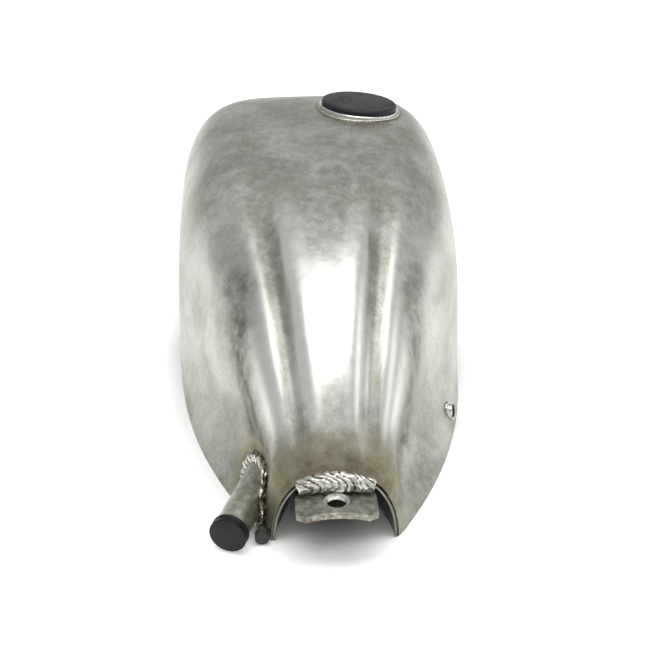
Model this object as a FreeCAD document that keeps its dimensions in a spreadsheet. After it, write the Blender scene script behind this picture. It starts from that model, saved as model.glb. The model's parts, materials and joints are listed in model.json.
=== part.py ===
"""Raw steel motorcycle fuel tank that straddles a backbone tube.

+Z is up, +Y is the front and +X is the right side.  The tank stands on its floor plates at z = 0 and
the origin is at the middle of its footprint.  A "station" is a distance ahead of the rear mouth, where
the skin and the tunnel meet in one thin edge.  All sizes are millimetres.
"""
import FreeCAD, Part
import math
import os

import Sketcher
from FreeCAD import Placement, Rotation, Vector

SIZES = (
    # the skin, seen from above and from the side
    ("tank_length", 496.0),
    ("tank_half_width", 117.0),
    ("tank_height", 185.0),
    ("mouth_half_width", 46.0),
    ("mouth_height", 58.0),
    ("widest_station", 294.0),
    ("crown_station", 354.0),
    ("nose_height", 80.0),
    ("nose_flat", 12.0),
    ("plan_power", 2.5),
    ("plan_nose_power", 3.4),
    ("crown_power", 3.25),
    ("crown_nose_power", 2.0),
    ("rear_section_power", 2.2),
    ("front_section_power", 4.4),
    ("section_change_start", 100.0),
    ("section_change_end", 320.0),
    # the two flutes on top and the waist in each flank
    ("flute_depth", 8.0),
    ("flute_width", 9.5),
    ("flute_offset", 24.0),
    ("flute_spread", 0.125),
    ("shaping_start_length", 45.0),
    ("shaping_end_station", 235.0),
    ("waist_depth", 21.0),
    # sheet
    ("skin_wall", 1.5),
    ("tunnel_wall", 1.5),
    ("floor_wall", 1.5),
    ("seam_width", 3.0),
    ("strip_end_station", 232.0),
    # backbone tunnel
    ("tunnel_half_width", 31.0),
    ("tunnel_height", 64.0),
    ("tunnel_power", 3.2),
    ("flare_length", 64.0),
    ("floor_start", 12.0),
    ("fillet_leg", 3.0),
    # mounting tabs
    ("tab_width", 58.0),
    ("tab_wall", 5.0),
    ("tab_reach", 31.0),
    ("tab_root", 8.0),
    ("tab_level", 45.0),
    ("tab_bend_radius", 86.0),
    ("tab_corner", 7.0),
    ("tab_hole_radius", 7.25),
    ("tab_hole_chamfer", 1.4),
    ("tab_bead_radius", 7.5),
    ("front_tab_width", 36.0),
    ("front_tab_length", 34.0),
    ("front_tab_setback", 4.0),
    ("front_bead_radius", 4.0),
    # filler
    ("filler_station", 364.0),
    ("filler_offset", 40.0),
    ("filler_lean_ahead", 3.0),
    ("filler_lean_out", 3.0),
    ("neck_outer_radius", 33.5),
    ("neck_inner_radius", 26.0),
    ("neck_rise", 0.8),
    ("neck_depth", 11.0),
    ("neck_bead", 1.5),
    ("plug_radius", 32.0),
    ("plug_crown", 4.5),
    ("plug_skirt", 9.0),
    ("plug_wall", 3.0),
    ("plug_round", 1.6),
    # fuel spigot, low at the rear of the left lobe
    ("spigot_radius", 12.5),
    ("spigot_bore_radius", 10.5),
    ("spigot_face_offset", 77.3),
    ("spigot_face_station", -14.0),
    ("spigot_yaw", 20.7),
    ("spigot_dip", 3.0),
    ("spigot_lift", 1.2),
    ("spigot_bead", 4.5),
    ("spigot_cap_wall", 1.2),
    ("spigot_cap_end", 2.5),
    ("spigot_cap_length", 8.0),
    ("spigot_cap_round", 1.2),
    ("spigot_length", 100.0),
    # balance nipple beside the left tip, and the drain bung on the right flank
    ("nipple_radius", 3.5),
    ("nipple_bore_radius", 2.2),
    ("nipple_offset", 52.5),
    ("nipple_end_station", -5.5),
    ("nipple_cap_wall", 1.5),
    ("nipple_cap_end", 1.5),
    ("nipple_cap_length", 7.0),
    ("bung_station", 147.0),
    ("bung_radius", 5.6),
    ("bung_bore_radius", 3.4),
    ("bung_level", 12.5),
    ("bung_rise", 2.0),
    ("bung_depth", 14.0),
    ("bung_plug_head_radius", 4.9),
    ("bung_plug_head", 2.0),
    ("small_bead", 1.8),
    # clearance between a piece that pulls off and what it sits on
    ("slip_gap", 0.3),
)

# how finely the skin is laid out, and how much closer its cross-sections stand at the mouth
SECTION_SAMPLES = 240
SECTION_POINTS = 36
REAR_SECTIONS, NOSE_SECTIONS = 16, 18
REAR_CROWDING = 1.3
FLARE_SECTIONS = 7
# the pressed shapes: deepest a third of the way along, and the waist's place and bluntness in height
SHAPING_LEAN = 0.6
FLANK_TOP_SHARE = 0.92
WAIST_LEAN, WAIST_BLUNTNESS = 0.7, 1.5
# a tab bead's thickness at its ends, and how much more than the tab it droops
BEAD_SECTIONS = 9
BEAD_END_SHARE = 0.65
REAR_BEAD_DROOP = 1.2
# helper solids reach this far past the tank
MARGIN = 20.0
SIDES = (("left", -1), ("right", 1))

doc = FreeCAD.newDocument("fuel_tank")
sheet = doc.addObject("Spreadsheet::Sheet", "sizes")
for row, (alias, value) in enumerate(SIZES, start=1):
    sheet.set(f"A{row}", alias)
    sheet.set(f"B{row}", str(value))
    sheet.setAlias(f"B{row}", alias)
doc.recompute()

sub_parts = []


def size(alias):
    """A driving dimension, read from the sheet."""
    return float(sheet.get(alias))


# ---------------------------------------------------------------- the skin as a formula


def origin_station():
    """The station under which the origin lies: the middle of nose tip and tab end."""
    return (size("tank_length") - size("tab_reach")) / 2


def at_station(x, station, z):
    return Vector(x, station - origin_station(), z)


def rising(start, end, share, power):
    """Goes from start to end as share goes from 0 to 1, steep first and level at the end."""
    return start + (end - start) * (1 - (1 - share) ** power)


def nose_fall(start, end, share, power):
    """A quarter of a rounded box from start, level, to end, upright, as share goes from 0 to 1."""
    return end + (start - end) * max(0.0, 1 - max(0.0, share) ** power) ** (1 / power)


def plan_half_width(station, inset):
    """Half the width at the floor, for the skin moved inwards by inset."""
    widest = size("tank_half_width") - inset
    if station <= size("widest_station"):
        share = station / size("widest_station")
        return rising(size("mouth_half_width") - inset, widest, share, size("plan_power"))
    nose = size("tank_length") - inset - size("widest_station")
    return nose_fall(widest, 0.0, (station - size("widest_station")) / nose, size("plan_nose_power"))


def crown_height(station, inset):
    """Height of the centre line, for the skin moved inwards by inset."""
    top = size("tank_height") - inset
    if station <= size("crown_station"):
        share = station / size("crown_station")
        return rising(size("mouth_height") - inset, top, share, size("crown_power"))
    nose = size("tank_length") - inset - size("crown_station")
    share = (station - size("crown_station")) / nose
    return nose_fall(top, size("nose_height") - inset, share, size("crown_nose_power"))


def smooth_step(value, start, end):
    """0 up to start, 1 from end on, and a smooth rise between."""
    share = min(1.0, max(0.0, (value - start) / (end - start)))
    return share * share * (3 - 2 * share)


def section_power(station):
    """How square the section's shoulder is: rounder at the rear, fuller at the front."""
    blend = smooth_step(station, size("section_change_start"), size("section_change_end"))
    return size("rear_section_power") + (size("front_section_power") - size("rear_section_power")) * blend


def shaping_share(station):
    """0 at the mouth, 1 a little ahead of it, and back to 0 where the pressed shapes fade out."""
    share = min(1.0, station / size("shaping_end_station"))
    return math.sin(math.pi * share ** SHAPING_LEAN) * smooth_step(station, 0, size("shaping_start_length"))


def flute_centre(station):
    return size("flute_offset") + size("flute_spread") * station


def pressed_in(x, z, station, crown):
    """How far the flute and the waist move a point of the plain section inwards."""
    across = (x - flute_centre(station)) / size("flute_width")
    flute = size("flute_depth") * math.exp(-across * across) * math.sqrt(shaping_share(station))
    share = min(1.0, z / crown / FLANK_TOP_SHARE)
    swell = math.sin(math.pi * share ** WAIST_LEAN) ** WAIST_BLUNTNESS
    waist = size("waist_depth") * swell * shaping_share(station)
    return flute + waist


def rounded_quarter(width, height, power):
    """Points (x, z) on a quarter of a rounded box, from its top centre to its outer foot."""
    points = []
    for i in range(SECTION_SAMPLES + 1):
        turn = math.pi / 2 * i / SECTION_SAMPLES
        sine = 0.0 if i == 0 else math.sin(turn)
        cosine = 0.0 if i == SECTION_SAMPLES else math.cos(turn)
        points.append((width * sine ** (2 / power), height * cosine ** (2 / power)))
    return points


def section_curve(station, inset):
    """Finely spaced points (x, z) from the crown down to the floor, on the right side."""
    width = plan_half_width(station, inset)
    crown = crown_height(station, inset)
    power = section_power(station)
    points = []
    for i, (x, z) in enumerate(rounded_quarter(width, crown, power)):
        if width > 0.001 and 0 < i < SECTION_SAMPLES:
            push = pressed_in(x, z, station, crown)
            across = (x / width) ** (power - 1) / width
            up = (z / crown) ** (power - 1) / crown
            x -= push * across / math.hypot(across, up)
            z -= push * up / math.hypot(across, up)
        points.append((x, z))
    return points


def evenly_spaced(points, count):
    """Points along a polyline at equal distances, both ends included."""
    lengths = [0.0]
    for (x0, z0), (x1, z1) in zip(points, points[1:]):
        lengths.append(lengths[-1] + math.hypot(x1 - x0, z1 - z0))
    picked = []
    k = 0
    for i in range(count):
        want = lengths[-1] * i / (count - 1)
        while k < len(points) - 2 and lengths[k + 1] < want:
            k += 1
        step = lengths[k + 1] - lengths[k]
        share = 0.0 if step == 0 else (want - lengths[k]) / step
        picked.append(tuple(a + (b - a) * share for a, b in zip(points[k], points[k + 1])))
    picked[0] = points[0]
    picked[-1] = points[-1]
    return picked


def skin_stations(inset):
    """Stations of the skin's cross-sections, closer where it turns faster."""
    widest = size("widest_station")
    nose = size("tank_length") - inset - widest
    rear = [widest * (i / REAR_SECTIONS) ** REAR_CROWDING for i in range(REAR_SECTIONS)]
    outline = rounded_quarter(nose, size("tank_half_width") - inset, size("plan_nose_power"))
    outline = [(ahead, width) for ahead, width in outline if width > size("nose_flat")]
    return rear + [widest + ahead for ahead, width in evenly_spaced(outline, NOSE_SECTIONS + 1)]


def surface_through(rows):
    surface = Part.BSplineSurface()
    surface.interpolate(rows)
    return surface.toShape()


def closed_solid(curved_face, flat_outlines):
    """One solid from a curved face and the flat faces that close it."""
    faces = [curved_face]
    for edges in flat_outlines:
        faces.append(Part.Face(Part.Wire(Part.__sortEdges__(edges))))
    shell = Part.makeShell(faces)
    shell.sewShape()
    solid = Part.makeSolid(shell)
    if solid.Volume < 0:
        solid.reverse()
    return solid


def boundary(face, test):
    """The face's boundary edges whose every sample point passes a test."""
    found = []
    for edge in face.Edges:
        if edge.Length > 1e-4 and all(test(p) for p in edge.discretize(7)):
            found.append(edge)
    return found


def half_solid_under(rows):
    """The solid between a surface through rows of points, each from top to floor, and the middle plane."""
    face = surface_through(rows)
    tops = [rows[0][0], rows[-1][0]]
    feet = [rows[0][-1], rows[-1][-1]]
    corners = [Vector(0, row[0].y, 0) for row in (rows[0], rows[-1])]
    outlines = []
    for top, foot, corner in zip(tops, feet, corners):
        end_edge = boundary(face, lambda p: abs(p.y - corner.y) < 1e-4)
        outlines.append(end_edge + [Part.makeLine(foot, corner), Part.makeLine(corner, top)])
    middle = Part.makeLine(*corners)
    floor_edge = boundary(face, lambda p: abs(p.z) < 1e-4)
    top_edge = boundary(face, lambda p: abs(p.x) < 1e-4)
    for edge, ends in ((floor_edge, feet), (top_edge, tops)):
        legs = [Part.makeLine(end, corner) for end, corner in zip(ends, corners)]
        outlines.append(edge + legs + [middle])
    return closed_solid(face, outlines)


def half_skin_solid(inset):
    """The right half of the space inside the skin, moved inwards by inset, down to the floor."""
    rows = []
    for station in skin_stations(inset):
        section = evenly_spaced(section_curve(station, inset), SECTION_POINTS)
        rows.append([at_station(x, station, z) for x, z in section])
    return half_solid_under(rows)


def other_side(shape):
    return shape.mirror(Vector(0, 0, 0), Vector(1, 0, 0))


def both_sides(right_shape):
    return right_shape.fuse(other_side(right_shape)).removeSplitter()


# ---------------------------------------------------------------- the backbone tunnel


def arch_curve(inset):
    """Points (x, z) of the tunnel's straight run, from its roof down to the floor."""
    width, height = size("tunnel_half_width") - inset, size("tunnel_height") - inset
    return rounded_quarter(width, height, size("tunnel_power"))


def half_tunnel_solid(inset):
    """The right half of the tunnel's space, from the flared mouth to past the nose."""
    mouth = evenly_spaced(section_curve(0.0, size("skin_wall") + inset), SECTION_POINTS)
    arch = evenly_spaced(arch_curve(inset), SECTION_POINTS)
    rows = []
    for i in range(FLARE_SECTIONS):
        station = size("flare_length") * i / (FLARE_SECTIONS - 1)
        blend = smooth_step(station, 0, size("flare_length"))
        rows.append([at_station(a[0] + (b[0] - a[0]) * blend, station, a[1] + (b[1] - a[1]) * blend)
                     for a, b in zip(mouth, arch)])
    flare = half_solid_under(rows)
    ahead_y = rows[-1][0].y
    end_face = next(face for face in flare.Faces if abs(face.CenterOfMass.y - ahead_y) < 1e-4)
    straight = end_face.extrude(Vector(0, size("tank_length") - size("flare_length") + MARGIN, 0))
    return flare.fuse(straight).removeSplitter()


# ---------------------------------------------------------------- helpers for the document


def add_shape(label, shape, keep=True):
    """A sub-part, or a helper solid, whose shape is worked out by formula."""
    feature = doc.addObject("Part::Feature", label)
    feature.Label = label
    feature.Shape = shape
    if keep:
        sub_parts.append(feature)
    return feature


def primitive(kind, name, placement=None, **sizes):
    """A Part primitive whose properties are bound to the sheet."""
    item = doc.addObject(kind, name)
    for prop, expression in sizes.items():
        item.setExpression(prop, expression)
    if placement:
        item.Placement = placement
    return item


def cut(name, base, tool):
    item = doc.addObject("Part::Cut", name)
    item.Base = base
    item.Tool = tool
    return item


def common(name, base, tool):
    item = doc.addObject("Part::Common", name)
    item.Base = base
    item.Tool = tool
    return item


def keep_as(label, item):
    """Makes a document object a sub-part under its own name."""
    item.Label = label
    sub_parts.append(item)


def turned_body(label, placement, profile):
    """A Body with one closed profile (radius, height), spun about the body's Z axis.

    Each corner of the profile is a pair of expressions that read the sheet.
    """
    body = doc.addObject("PartDesign::Body", label)
    body.Label = label
    sketch = body.newObject("Sketcher::SketchObject", f"{label}_profile")
    plane = next(p for p in body.Origin.OriginFeatures if p.Role == "XZ_Plane")
    sketch.AttachmentSupport = [(plane, "")]
    sketch.MapMode = "FlatFace"
    corners = [Vector(evaluate(radius), evaluate(height), 0) for radius, height in profile]
    count = len(corners)
    for i in range(count):
        sketch.addGeometry(Part.LineSegment(corners[i], corners[(i + 1) % count]), False)
    for i in range(count):
        sketch.addConstraint(Sketcher.Constraint("Coincident", i, 2, (i + 1) % count, 1))
    for i, (radius, height) in enumerate(profile):
        for kind, expression, value in (("DistanceX", radius, corners[i].x),
                                        ("DistanceY", height, corners[i].y)):
            number = sketch.addConstraint(Sketcher.Constraint(kind, -1, 1, i, 1, value))
            sketch.setExpression(f"Constraints[{number}]", expression)
    spin = body.newObject("PartDesign::Revolution", f"{label}_spin")
    spin.Profile = sketch
    spin.ReferenceAxis = (sketch, ["V_Axis"])
    spin.Angle = 360.0
    body.Placement = placement
    sub_parts.append(body)
    return body


def evaluate(expression):
    """The value of an expression such as 'sizes.bore + 2', read from the sheet."""
    result = sheet.evalExpression(expression)
    return float(getattr(result, "Value", result))


def round_edge(body, radius_expression, at_radius, at_height):
    """A fillet on the circular edge of a turned body at a given radius and height."""
    doc.recompute()
    base = body.Tip
    names = []
    for i, edge in enumerate(base.Shape.Edges, start=1):
        circle = edge.Curve
        if not isinstance(circle, Part.Circle) or abs(circle.Radius - at_radius) > 1e-3:
            continue
        if abs(circle.Center.z - at_height) < 1e-3:
            names.append(f"Edge{i}")
    fillet = body.newObject("PartDesign::Fillet", f"{body.Name}_round")
    fillet.Base = (base, names)
    fillet.setExpression("Radius", radius_expression)
    body.Tip = fillet


def facing(position, direction):
    """A placement whose Z axis points along a direction."""
    return Placement(position, Rotation(Vector(0, 0, 1), direction))


def skin_point(offset, station):
    """The point of the skin above (offset, station), and the skin's outward direction there."""
    def height(x, s):
        section = section_curve(s, 0.0)
        for (x0, z0), (x1, z1) in zip(section, section[1:]):
            if x0 <= x <= x1:
                return z0 + (z1 - z0) * (x - x0) / (x1 - x0)
        raise ValueError("no skin above this point")
    step = 2.0
    slope_x = (height(offset + step, station) - height(offset - step, station)) / (2 * step)
    slope_y = (height(offset, station + step) - height(offset, station - step)) / (2 * step)
    outward = Vector(-slope_x, -slope_y, 1)
    outward.normalize()
    return at_station(offset, station, height(offset, station)), outward


def flank_width(station, level):
    """Half the skin's width at a height above the floor, low on the flank."""
    section = section_curve(station, 0.0)
    below = [point for point in section if point[1] <= level]
    above = [point for point in section if point[1] > level]
    (x0, z0), (x1, z1) = above[-1], below[0]
    return x0 + (x1 - x0) * (level - z0) / (z1 - z0)


# ---------------------------------------------------------------- skin, strip, seams


def strip_outline(grow):
    """The strip between the flutes, seen from above, widened by grow: a flat face."""
    end = size("strip_end_station")
    stations = [-MARGIN, end / 3, 2 * end / 3, end - flute_centre(end)]
    right = [at_station(flute_centre(s) + grow, s, 0) for s in stations]
    left = [Vector(-p.x, p.y, 0) for p in reversed(right)]
    tip = at_station(0, end + grow, 0)
    edges = [Part.makePolygon(right).Edges, Part.makePolygon(left).Edges]
    cap = Part.Arc(right[-1], tip, left[0]).toShape()
    back = Part.makeLine(left[-1], right[0])
    return Part.Face(Part.Wire(Part.__sortEdges__(edges[0] + [cap] + edges[1] + [back])))


def slab(x_from, x_to, y_from, z_from, z_to):
    """A box between two heights that reaches from y_from to ahead of the nose."""
    ahead = size("tank_length") + MARGIN
    return Part.makeBox(x_to - x_from, ahead, z_to - z_from, Vector(x_from, y_from, z_from))


def side_slab(sign, y_from, z_from, z_to):
    """The same for one side of the middle plane only, wider than the tank."""
    reach = size("tank_half_width") + MARGIN
    return slab(min(0, sign * reach), max(0, sign * reach), y_from, z_from, z_to)


def make_skin(outer, inner, tunnel):
    """Both side pressings, the strip between them and the ground seams."""
    top = size("tank_height") + MARGIN
    sheet_metal = outer.cut(inner).cut(tunnel)
    half_seam = size("seam_width") / 2
    up = Vector(0, 0, top)
    strip_space = strip_outline(-half_seam).extrude(up)
    seam_space = strip_outline(half_seam).extrude(up)
    ridge_start = at_station(0, size("strip_end_station"), 0).y
    middle_seam = slab(-half_seam, half_seam, ridge_start, 0, top)
    add_shape("centre_strip", sheet_metal.common(strip_space))
    add_shape("strip_seam", sheet_metal.common(seam_space).cut(strip_space))
    add_shape("nose_seam", sheet_metal.common(middle_seam).cut(seam_space))
    rest = sheet_metal.cut(seam_space).cut(middle_seam)
    behind = at_station(0, -MARGIN, 0).y
    for side_name, sign in SIDES:
        add_shape(f"{side_name}_shell_blank", rest.common(side_slab(sign, behind, 0, top)), keep=False)


def make_tunnel_and_floors(outer, inner, tunnel):
    """The backbone tunnel, the two floor plates and the fillet welds inside."""
    void = both_sides(half_tunnel_solid(size("tunnel_wall")))
    add_shape("tunnel", tunnel.cut(void).common(outer))
    wall, leg = size("floor_wall"), size("fillet_leg")
    floor_rear = at_station(0, size("floor_start"), 0).y
    bead_rear = at_station(0, size("flare_length"), 0).y
    inner_less = both_sides(half_skin_solid(size("skin_wall") + leg))
    tunnel_more = both_sides(half_tunnel_solid(-leg))
    for side_name, sign in SIDES:
        add_shape(f"{side_name}_floor", side_slab(sign, floor_rear, 0, wall).common(inner).cut(tunnel))
        cavity = side_slab(sign, bead_rear, wall, wall + leg).common(inner).cut(tunnel)
        add_shape(f"{side_name}_skin_fillet", cavity.cut(inner_less))
        add_shape(f"{side_name}_tunnel_fillet", cavity.common(inner_less).common(tunnel_more))


# ---------------------------------------------------------------- tabs


def make_tab(name, end, width, length, corner):
    """A bent plate with clipped end corners and one chamfered hole.

    end is a placement at the middle of the tab's free end, on top, with Y along the tab's length.
    width, length and corner are expressions that read the sheet.
    """
    radius = size("tab_bend_radius")

    def placed(x, y, z, turn=Rotation()):
        return end.multiply(Placement(Vector(x, y, z), turn))

    axis = placed(0, 0, -radius, Rotation(Vector(1, 0, 0), -90))
    outer = primitive("Part::Cylinder", f"{name}_outer", axis, Radius="sizes.tab_bend_radius", Height=length)
    inner = primitive("Part::Cylinder", f"{name}_inner", axis,
                      Radius="sizes.tab_bend_radius - sizes.tab_wall", Height=length)
    band = cut(f"{name}_band", outer, inner)
    half = evaluate(width) / 2
    blank = primitive("Part::Box", f"{name}_width", placed(-half, 0, -radius),
                      Length=width, Width=length, Height="2 * sizes.tab_bend_radius")
    plate = common(f"{name}_plate", band, blank)
    hole_y = size("tab_reach") / 2
    drill = primitive("Part::Cylinder", f"{name}_drill", placed(0, hole_y, -4 * size("tab_wall")),
                      Radius="sizes.tab_hole_radius", Height="8 * sizes.tab_wall")
    plate = cut(f"{name}_drilled", plate, drill)
    sink = primitive("Part::Cone", f"{name}_sink", placed(0, hole_y, -size("tab_hole_chamfer")),
                     Radius1="sizes.tab_hole_radius",
                     Radius2="sizes.tab_hole_radius + 2 * sizes.tab_hole_chamfer",
                     Height="2 * sizes.tab_hole_chamfer")
    plate = cut(f"{name}_sunk", plate, sink)
    reach = evaluate(corner)
    diagonal = f"{corner} * sqrt(2)"
    for side_name, sign in SIDES:
        turn = placed(sign * half, -reach, -radius, Rotation(Vector(0, 0, 1), 45))
        clip = primitive("Part::Box", f"{name}_{side_name}_clip", turn,
                         Length=diagonal, Width=diagonal, Height="2 * sizes.tab_bend_radius")
        plate = cut(f"{name}_{side_name}_clipped", plate, clip)
    keep_as(name, plate)


def bead_along(points, radii):
    """A weld bead as a loft of round sections along an arch of points in one upright plane."""
    wires = []
    for i, (point, radius) in enumerate(zip(points, radii)):
        before = points[max(0, i - 1)]
        after = points[min(len(points) - 1, i + 1)]
        wires.append(Part.Wire(Part.makeCircle(radius, point, after - before)))
    return Part.makeLoft(wires, True)


def make_tab_bead(name, y, level, drop, radius, half_width, cutters):
    """The bead over a tab, thickest in the middle, trimmed by what it lies on."""
    points, radii = [], []
    for i in range(BEAD_SECTIONS):
        share = 2 * i / (BEAD_SECTIONS - 1) - 1
        points.append(Vector(share * half_width, y, level - drop * share * share))
        radii.append(radius * (1 - (1 - BEAD_END_SHARE) * share * share))
    bead = bead_along(points, radii)
    for cutter in cutters:
        bead = bead.cut(cutter)
    bead = max(bead.Solids, key=lambda solid: solid.Volume)
    add_shape(name, bead)


def shape_of(label):
    """The finished shape of a sub-part or helper, by its label."""
    return doc.getObjectsByLabel(label)[0].Shape


def bend_drop(half_width):
    """How far a tab's long edges lie below its middle."""
    radius = size("tab_bend_radius")
    return radius - math.sqrt(radius ** 2 - half_width ** 2)


def make_tabs(outer):
    """Both mounting tabs and the beads that hold them."""
    level, reach = size("tab_level"), size("tab_reach")
    rear_end = Placement(at_station(0, -reach, level), Rotation())
    make_tab("rear_mount_tab", rear_end, "sizes.tab_width", "sizes.tab_reach + sizes.tab_root",
             "sizes.tab_corner")
    front_level = size("tunnel_height") - size("tunnel_wall") - size("front_bead_radius")
    front_station = size("tank_length") - size("front_tab_setback")
    front_end = Placement(at_station(0, front_station, front_level), Rotation(Vector(0, 0, 1), 180))
    make_tab("front_mount_tab", front_end, "sizes.front_tab_width", "sizes.front_tab_length",
             "sizes.tab_corner / 2")
    doc.recompute()
    half = size("tab_width") / 2 - size("front_bead_radius") / 2
    bead_y = at_station(0, -size("skin_wall"), 0).y
    bead_level = (level + size("mouth_height")) / 2
    make_tab_bead("rear_tab_bead", bead_y, bead_level, bend_drop(half) * REAR_BEAD_DROOP,
                  size("tab_bead_radius"), half, [outer, shape_of("rear_mount_tab")])
    half = size("front_tab_width") / 2 - size("front_bead_radius")
    bead_y = at_station(0, front_station - size("front_tab_length"), 0).y
    make_tab_bead("front_tab_bead", bead_y, front_level, bend_drop(half), size("front_bead_radius"), half,
                  [shape_of("tunnel"), shape_of("front_mount_tab")])


# ---------------------------------------------------------------- fittings


def ring_bead(label, placement, inner_radius, leg, reach, outer, cutters=()):
    """A weld ring around a round fitting, filling a layer of the given leg just outside the skin."""
    ring = Part.makeCylinder(inner_radius + leg, 2 * reach, Vector(0, 0, -reach))
    ring = ring.cut(Part.makeCylinder(inner_radius, 2 * reach, Vector(0, 0, -reach)))
    ring.Placement = placement
    bead = ring.common(both_sides(half_skin_solid(-leg))).cut(outer)
    for cutter in cutters:
        bead = bead.cut(cutter)
    add_shape(label, max(bead.Solids, key=lambda solid: solid.Volume))


def drill_through(placement, radius, reach):
    """The hole a fitting needs in the skin, reaching both ways from its placement."""
    drill = Part.makeCylinder(radius, 2 * reach, Vector(0, 0, -reach))
    drill.Placement = placement
    return drill


def make_filler(outer):
    """Filler neck, leaning a little from the skin's own direction, its bead and the push-in plug."""
    foot, outward = skin_point(size("filler_offset"), size("filler_station"))
    ahead = Rotation(Vector(1, 0, 0), -size("filler_lean_ahead"))
    outwards = Rotation(Vector(0, 1, 0), size("filler_lean_out"))
    outward = outwards.multVec(ahead.multVec(outward))
    place = facing(foot, outward)
    turned_body("filler_neck", place, [
        ("sizes.neck_inner_radius", "-sizes.neck_depth"),
        ("sizes.neck_outer_radius", "-sizes.neck_depth"),
        ("sizes.neck_outer_radius", "sizes.neck_rise"),
        ("sizes.neck_inner_radius", "sizes.neck_rise"),
    ])
    outside = "sizes.neck_inner_radius - sizes.slip_gap"
    inside = f"{outside} - sizes.plug_wall"
    plug_place = facing(foot + outward * (size("neck_rise") + size("slip_gap")), outward)
    plug = turned_body("filler_plug", plug_place, [
        ("0", "sizes.plug_crown"),
        ("0", "-sizes.plug_skirt + sizes.plug_wall"),
        (inside, "-sizes.plug_skirt + sizes.plug_wall"),
        (inside, "-sizes.plug_skirt"),
        (outside, "-sizes.plug_skirt"),
        (outside, "0"),
        ("sizes.plug_radius", "0"),
        ("sizes.plug_radius", "sizes.plug_crown"),
    ])
    round_edge(plug, "sizes.plug_round", size("plug_radius"), size("plug_crown"))
    ring_bead("filler_neck_bead", place, size("neck_outer_radius"), size("neck_bead"),
              size("neck_outer_radius"), outer)
    return drill_through(place, size("neck_outer_radius"), size("neck_outer_radius")), outward


def push_on_cap(kind, face, ahead):
    """A cup-shaped cap that pushes over a tube; kind is the tube's prefix in the sheet."""
    inside = f"sizes.{kind}_radius + sizes.slip_gap"
    outside = f"{inside} + sizes.{kind}_cap_wall"
    return turned_body(f"{kind}_cap", facing(face, ahead), [
        ("0", "0"),
        (outside, "0"),
        (outside, f"sizes.{kind}_cap_length"),
        (inside, f"sizes.{kind}_cap_length"),
        (inside, f"sizes.{kind}_cap_end"),
        ("0", f"sizes.{kind}_cap_end"),
    ])


def cap_outer_radius(kind):
    return size(f"{kind}_radius") + size("slip_gap") + size(f"{kind}_cap_wall")


def trimmed_tube(label, kind, place, length, outer):
    """A tube that starts at a placement and ends on the skin."""
    blank = primitive("Part::Cylinder", f"{kind}_blank", place, Radius=f"sizes.{kind}_radius", Height=length)
    bore = primitive("Part::Cylinder", f"{kind}_bore_blank", place,
                     Radius=f"sizes.{kind}_bore_radius", Height=length)
    wall = cut(f"{kind}_wall", blank, bore)
    outside = add_shape(f"{kind}_trim", outer, keep=False)
    keep_as(label, cut(f"{kind}_trimmed", wall, outside))


def make_nipple(outer):
    """The small balance nipple beside the left tip, with its push-on cap."""
    ahead = Vector(0, 1, 0)
    level = cap_outer_radius("nipple") + size("slip_gap")
    face = at_station(-size("nipple_offset"), size("nipple_end_station"), level)
    place = facing(face + ahead * (size("nipple_cap_end") + size("slip_gap")), ahead)
    trimmed_tube("balance_nipple", "nipple", place, "sizes.shaping_start_length", outer)
    push_on_cap("nipple", face, ahead)
    tube = Part.makeCylinder(size("nipple_radius"), size("shaping_start_length"))
    tube.Placement = place
    return drill_through(place, size("nipple_bore_radius"), size("shaping_start_length")), tube


def spigot_direction():
    """The way the fuel spigot points: rearwards, outwards to the left and a little down."""
    yaw = math.radians(size("spigot_yaw"))
    dip = math.radians(size("spigot_dip"))
    level = math.cos(dip)
    return Vector(-math.sin(yaw) * level, -math.cos(yaw) * level, -math.sin(dip))


def make_spigot(outer, neighbour):
    """The fuel spigot tube, its heavy bead and the push-on cap."""
    ahead = spigot_direction() * -1
    level = cap_outer_radius("spigot") + size("spigot_lift")
    face = at_station(-size("spigot_face_offset"), size("spigot_face_station"), level)
    place = facing(face + ahead * (size("spigot_cap_end") + size("slip_gap")), ahead)
    trimmed_tube("fuel_spigot", "spigot", place, "sizes.spigot_length", outer)
    cap = push_on_cap("spigot", face, ahead)
    round_edge(cap, "sizes.spigot_cap_round", cap_outer_radius("spigot"), 0.0)
    behind = at_station(0, -size("spigot_length"), 0).y
    ground = side_slab(-1, behind, -size("tank_height"), size("floor_wall"))
    ring_bead("spigot_bead", place, size("spigot_radius"), size("spigot_bead"), size("spigot_length"), outer,
              [ground, neighbour])
    return drill_through(place, size("spigot_bore_radius"), size("spigot_length"))


def make_bung(outer):
    """The drain bung low on the right flank, with its push-in plug."""
    level, station = size("bung_level"), size("bung_station")
    wall = at_station(flank_width(station, level), station, level)
    outward = Vector(1, 0, 0)
    place = facing(wall, outward)
    turned_body("drain_bung", place, [
        ("sizes.bung_bore_radius", "-sizes.bung_depth"),
        ("sizes.bung_radius", "-sizes.bung_depth"),
        ("sizes.bung_radius", "sizes.bung_rise"),
        ("sizes.bung_bore_radius", "sizes.bung_rise"),
    ])
    plug_place = facing(wall + outward * (size("bung_rise") + size("slip_gap")), outward)
    turned_body("drain_plug", plug_place, [
        ("0", "sizes.bung_plug_head"),
        ("0", "-sizes.bung_radius"),
        ("sizes.bung_bore_radius - sizes.slip_gap", "-sizes.bung_radius"),
        ("sizes.bung_bore_radius - sizes.slip_gap", "0"),
        ("sizes.bung_plug_head_radius", "0"),
        ("sizes.bung_plug_head_radius", "sizes.bung_plug_head"),
    ])
    ring_bead("drain_bung_bead", place, size("bung_radius"), size("small_bead"), size("bung_depth"), outer)
    return drill_through(place, size("bung_radius"), size("bung_depth"))


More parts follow.
